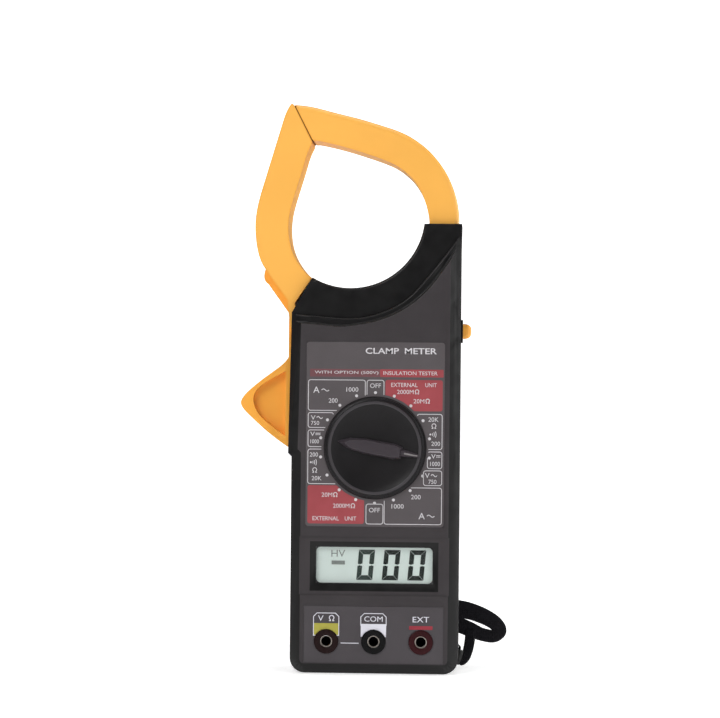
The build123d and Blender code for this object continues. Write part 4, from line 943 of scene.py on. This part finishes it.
def webbing(bm, stations, thickness, ribs):
    """Flat strap with thin edges and lengthwise ribs; stations are centre, width, direction."""
    centres, widths, directions = zip(*stations)
    line = smooth_line(centres)
    last = len(line) - 1
    spans = len(stations) - 1
    rings = []
    for i, centre in enumerate(line):
        t = i / last * spans
        k = min(int(t), spans - 1)
        f = t - k
        width = widths[k] * (1 - f) + widths[k + 1] * f
        aim = (Vector(directions[k]) * (1 - f) + Vector(directions[k + 1]) * f).normalized()
        along = (line[min(i + 1, last)] - line[max(i - 1, 0)]).normalized()
        side = (aim - along * aim.dot(along)).normalized()
        normal = along.cross(side).normalized()
        upper = []
        for q in range(ribs * 2 + 1):
            u = -1 + q / ribs
            rib = 0.86 + 0.14 * math.cos(q * math.pi)
            edge = 1 - 0.55 * max(0, abs(u) - 0.8) / 0.2
            unevenness = 1 + 0.06 * math.sin(i * 1.7)
            upper.append((u, thickness / 2 * rib * edge * unevenness))
        section = upper + [(u, -h) for u, h in reversed(upper)]
        rings.append(ring(bm, [centre + side * (u * width / 2) + normal * h
                               for u, h in section]))
    skin(bm, rings)


def wrist_strap():
    (_, _, strap_low), (strap_right, _, _) = box_mm("wrist_strap")
    strap_y = box_mm("rear_shell")[1][1] + 1.12
    bead = [(low + high) / 2 for low, high in zip(*box_mm("strap_bead"))]
    bm = bmesh.new()
    webbing(bm, [((strap_right - u, strap_y, strap_low + v), width, (dx, 0, dz))
                 for u, v, width, dx, dz in STRAP_LOOP], thickness=1.25, ribs=7)
    webbing(bm, [((bead[0] + x, bead[1] + y, bead[2] + z), width, (dx, 0, dz))
                 for x, y, z, width, dx, dz in STRAP_TAIL], thickness=1.5, ribs=4)
    add("wrist_strap_webbing", bm, "webbing_black", "strap", "wrist_strap", 50, replaces=True)


wrist_strap()

# ---------------------------------------- materials on the CAD pieces still shown
PART_LOOKS = {
    "zinc_steel": "battery_door_screw case_screws pcb_screws jaw_pivot_pin return_spring "
                  "detent_balls detent_springs knob_screw strap_anchor_pin",
    "label_grey": "face_label",
    "label_grey_low": "jack_label",
    "moulded_black": "lcd_frame converter_ic piezo_buzzer hold_switch",
    "lcd_cell": "lcd_glass",
    "rubber_black": "zebra_strips battery_snap battery_lead_black strap_bead",
    "pcb_green": "main_pcb",
    "lacquer_blue": "range_resistors trimmer_pot",
    "dipped_amber": "film_capacitors ptc_thermistor",
    "battery_jacket": "electrolytic_cap battery_9v",
    "socket_sleeve": "jack_sleeve_v_ohm jack_sleeve_com jack_sleeve_ext",
    "wire_red": "battery_lead_red",
    "lamination_steel": "fixed_core moving_core",
    "acetal_cream": "coil_bobbin wiper_carrier",
    "enamel_copper": "pickup_coil wiper_contacts",
    "wire_yellow": "coil_leads",
    "webbing_black": "strap_cord",
    "display_window": "lcd_window",
}
look_of = {part: look for look, parts in PART_LOOKS.items() for part in parts.split()}
for node, piece in frame["nodes"].items():
    if piece.hide_render:
        continue
    piece.data.materials.clear()
    piece.data.materials.append(looks[look_of[node]])

# ---------------------------------------------- floor and backdrop, in metres
FLOOR_RADIUS = 1.15
COVE_RADIUS = 0.35
WALL_HEIGHT = 3.0
COVE_STEPS = 16
NEAR_GLOW, FAR_GLOW = 0.55, 1.1                        # floor emission by the meter, far off
low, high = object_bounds()
mid_z = (low.z + high.z) / 2


def turned(name, profile, material, count=64):
    """Surface of revolution about Z from (radius, height) pairs, just under the meter."""
    bm = bmesh.new()
    rings = [[bm.verts.new((x, y, height + low.z - 0.0002)) for x, y in disc(0, 0, radius, count)]
             for radius, height in profile]
    for first, second in zip(rings, rings[1:]):
        bridge(bm, first, second)
    mesh = bpy.data.meshes.new(name)
    bm.to_mesh(mesh)
    bm.free()
    mesh.shade_smooth()
    shown = bpy.data.objects.new(name, mesh)
    bpy.context.scene.collection.objects.link(shown)
    mesh.materials.append(material)
    return shown


def studio_material(name, roughness, glow):
    return surface(name, (0.93, 0.93, 0.93), roughness=roughness, variation=0.004, grain=40,
                   bump=0.0, mottle=3, glow=glow)


def floor_material():
    """White that glows more away from the meter, as the camera sees it."""
    material = studio_material("studio_white", 0.8, NEAR_GLOW)
    tree = material.node_tree
    distance = shader(tree, "VectorMath", {0: shader(tree, "TexCoord").outputs["Object"]},
                      operation="LENGTH")
    spread = shader(tree, "MapRange", {
        "Value": distance.outputs["Value"], "From Min": 0.10, "From Max": 0.45,
        "To Min": NEAR_GLOW, "To Max": FAR_GLOW})
    seen = shader(tree, "LightPath").outputs["Is Camera Ray"]
    glow = shader(tree, "Mix", {"Factor": seen, "A": 0.4, "B": spread.outputs[0]})
    tree.links.new(glow.outputs["Result"], principled(material).inputs["Emission Strength"])
    return material


turned("floor", [(0.0005, 0.0), (0.5, 0.0), (FLOOR_RADIUS, 0.0)], floor_material())
cove = []
for i in range(COVE_STEPS + 1):
    angle = math.pi / 2 * i / COVE_STEPS
    cove.append((FLOOR_RADIUS + COVE_RADIUS * math.sin(angle),
                 COVE_RADIUS - COVE_RADIUS * math.cos(angle)))
wall = turned("backdrop", cove + [(FLOOR_RADIUS + COVE_RADIUS, WALL_HEIGHT)],
              studio_material("studio_wall", 0.9, FAR_GLOW))
# the backdrop is only for the camera and lights nothing
wall.visible_diffuse = False
wall.visible_glossy = False
wall.visible_shadow = False
wall.visible_transmission = False

# ------------------------------------------------------------ world and lights
world = bpy.data.worlds.new("w")
bpy.context.scene.world = world
world.use_nodes = True
background = world.node_tree.nodes["Background"]
background.inputs[0].default_value = (1, 1, 1, 1)
# full white to the camera, dim as a light
strength = shader(world.node_tree, "MapRange", {
    "Value": shader(world.node_tree, "LightPath").outputs["Is Camera Ray"],
    "To Min": 0.20, "To Max": 1.0})
world.node_tree.links.new(strength.outputs[0], background.inputs[1])

# name, location, x of the aim point, width and height, power
LIGHTS = [
    ("key", (-0.55, -0.75, 0.75), 0, (0.5, 0.5), 5.6),
    ("fill", (0.75, -0.6, 0.35), 0, (0.4, 0.7), 2.0),
    ("side", (0.6, 0.25, 0.2), 0.03, (0.3, 0.5), 2.8),
    ("top", (0.0, 0.0, 0.95), 0, (0.5, 0.5), 2.4)]
for name, location, aim_x, (width, height), power in LIGHTS:
    light = bpy.data.lights.new(name, "AREA")
    light.shape = "RECTANGLE"
    light.size = width
    light.size_y = height
    light.energy = power
    lamp = bpy.data.objects.new(name, light)
    bpy.context.scene.collection.objects.link(lamp)
    lamp.location = location
    lamp.rotation_mode = "QUATERNION"
    aim = Vector((aim_x, 0, mid_z)) - Vector(location)
    lamp.rotation_quaternion = aim.to_track_quat("-Z", "Y")

# ------------------------------------------------------------------ the camera
CAMERA_DISTANCE = 0.94
AZIMUTH, ELEVATION, ROLL = [math.radians(a) for a in (2.5, 0.2, 0.5)]
camera = bpy.data.cameras.new("cam")
camera.sensor_width = 36.0
camera.lens = 114.915
camera.shift_x = -0.024
camera.shift_y = 0.0442
camera.clip_start = 0.02
camera.clip_end = 20
viewer = bpy.data.objects.new("cam", camera)
bpy.context.scene.collection.objects.link(viewer)
towards_viewer = Vector((math.sin(AZIMUTH) * math.cos(ELEVATION),
                         -math.cos(AZIMUTH) * math.cos(ELEVATION), math.sin(ELEVATION)))
viewer.location = Vector((0.0, 0.0, mid_z - 0.001)) + towards_viewer * CAMERA_DISTANCE
viewer.rotation_mode = "QUATERNION"
viewer.rotation_quaternion = ((-towards_viewer).to_track_quat("-Z", "Y")
                              @ Quaternion((0, 0, 1), ROLL))
bpy.context.scene.camera = viewer
bpy.context.scene.view_settings.view_transform = "Standard"
bpy.context.scene.view_settings.look = "None"
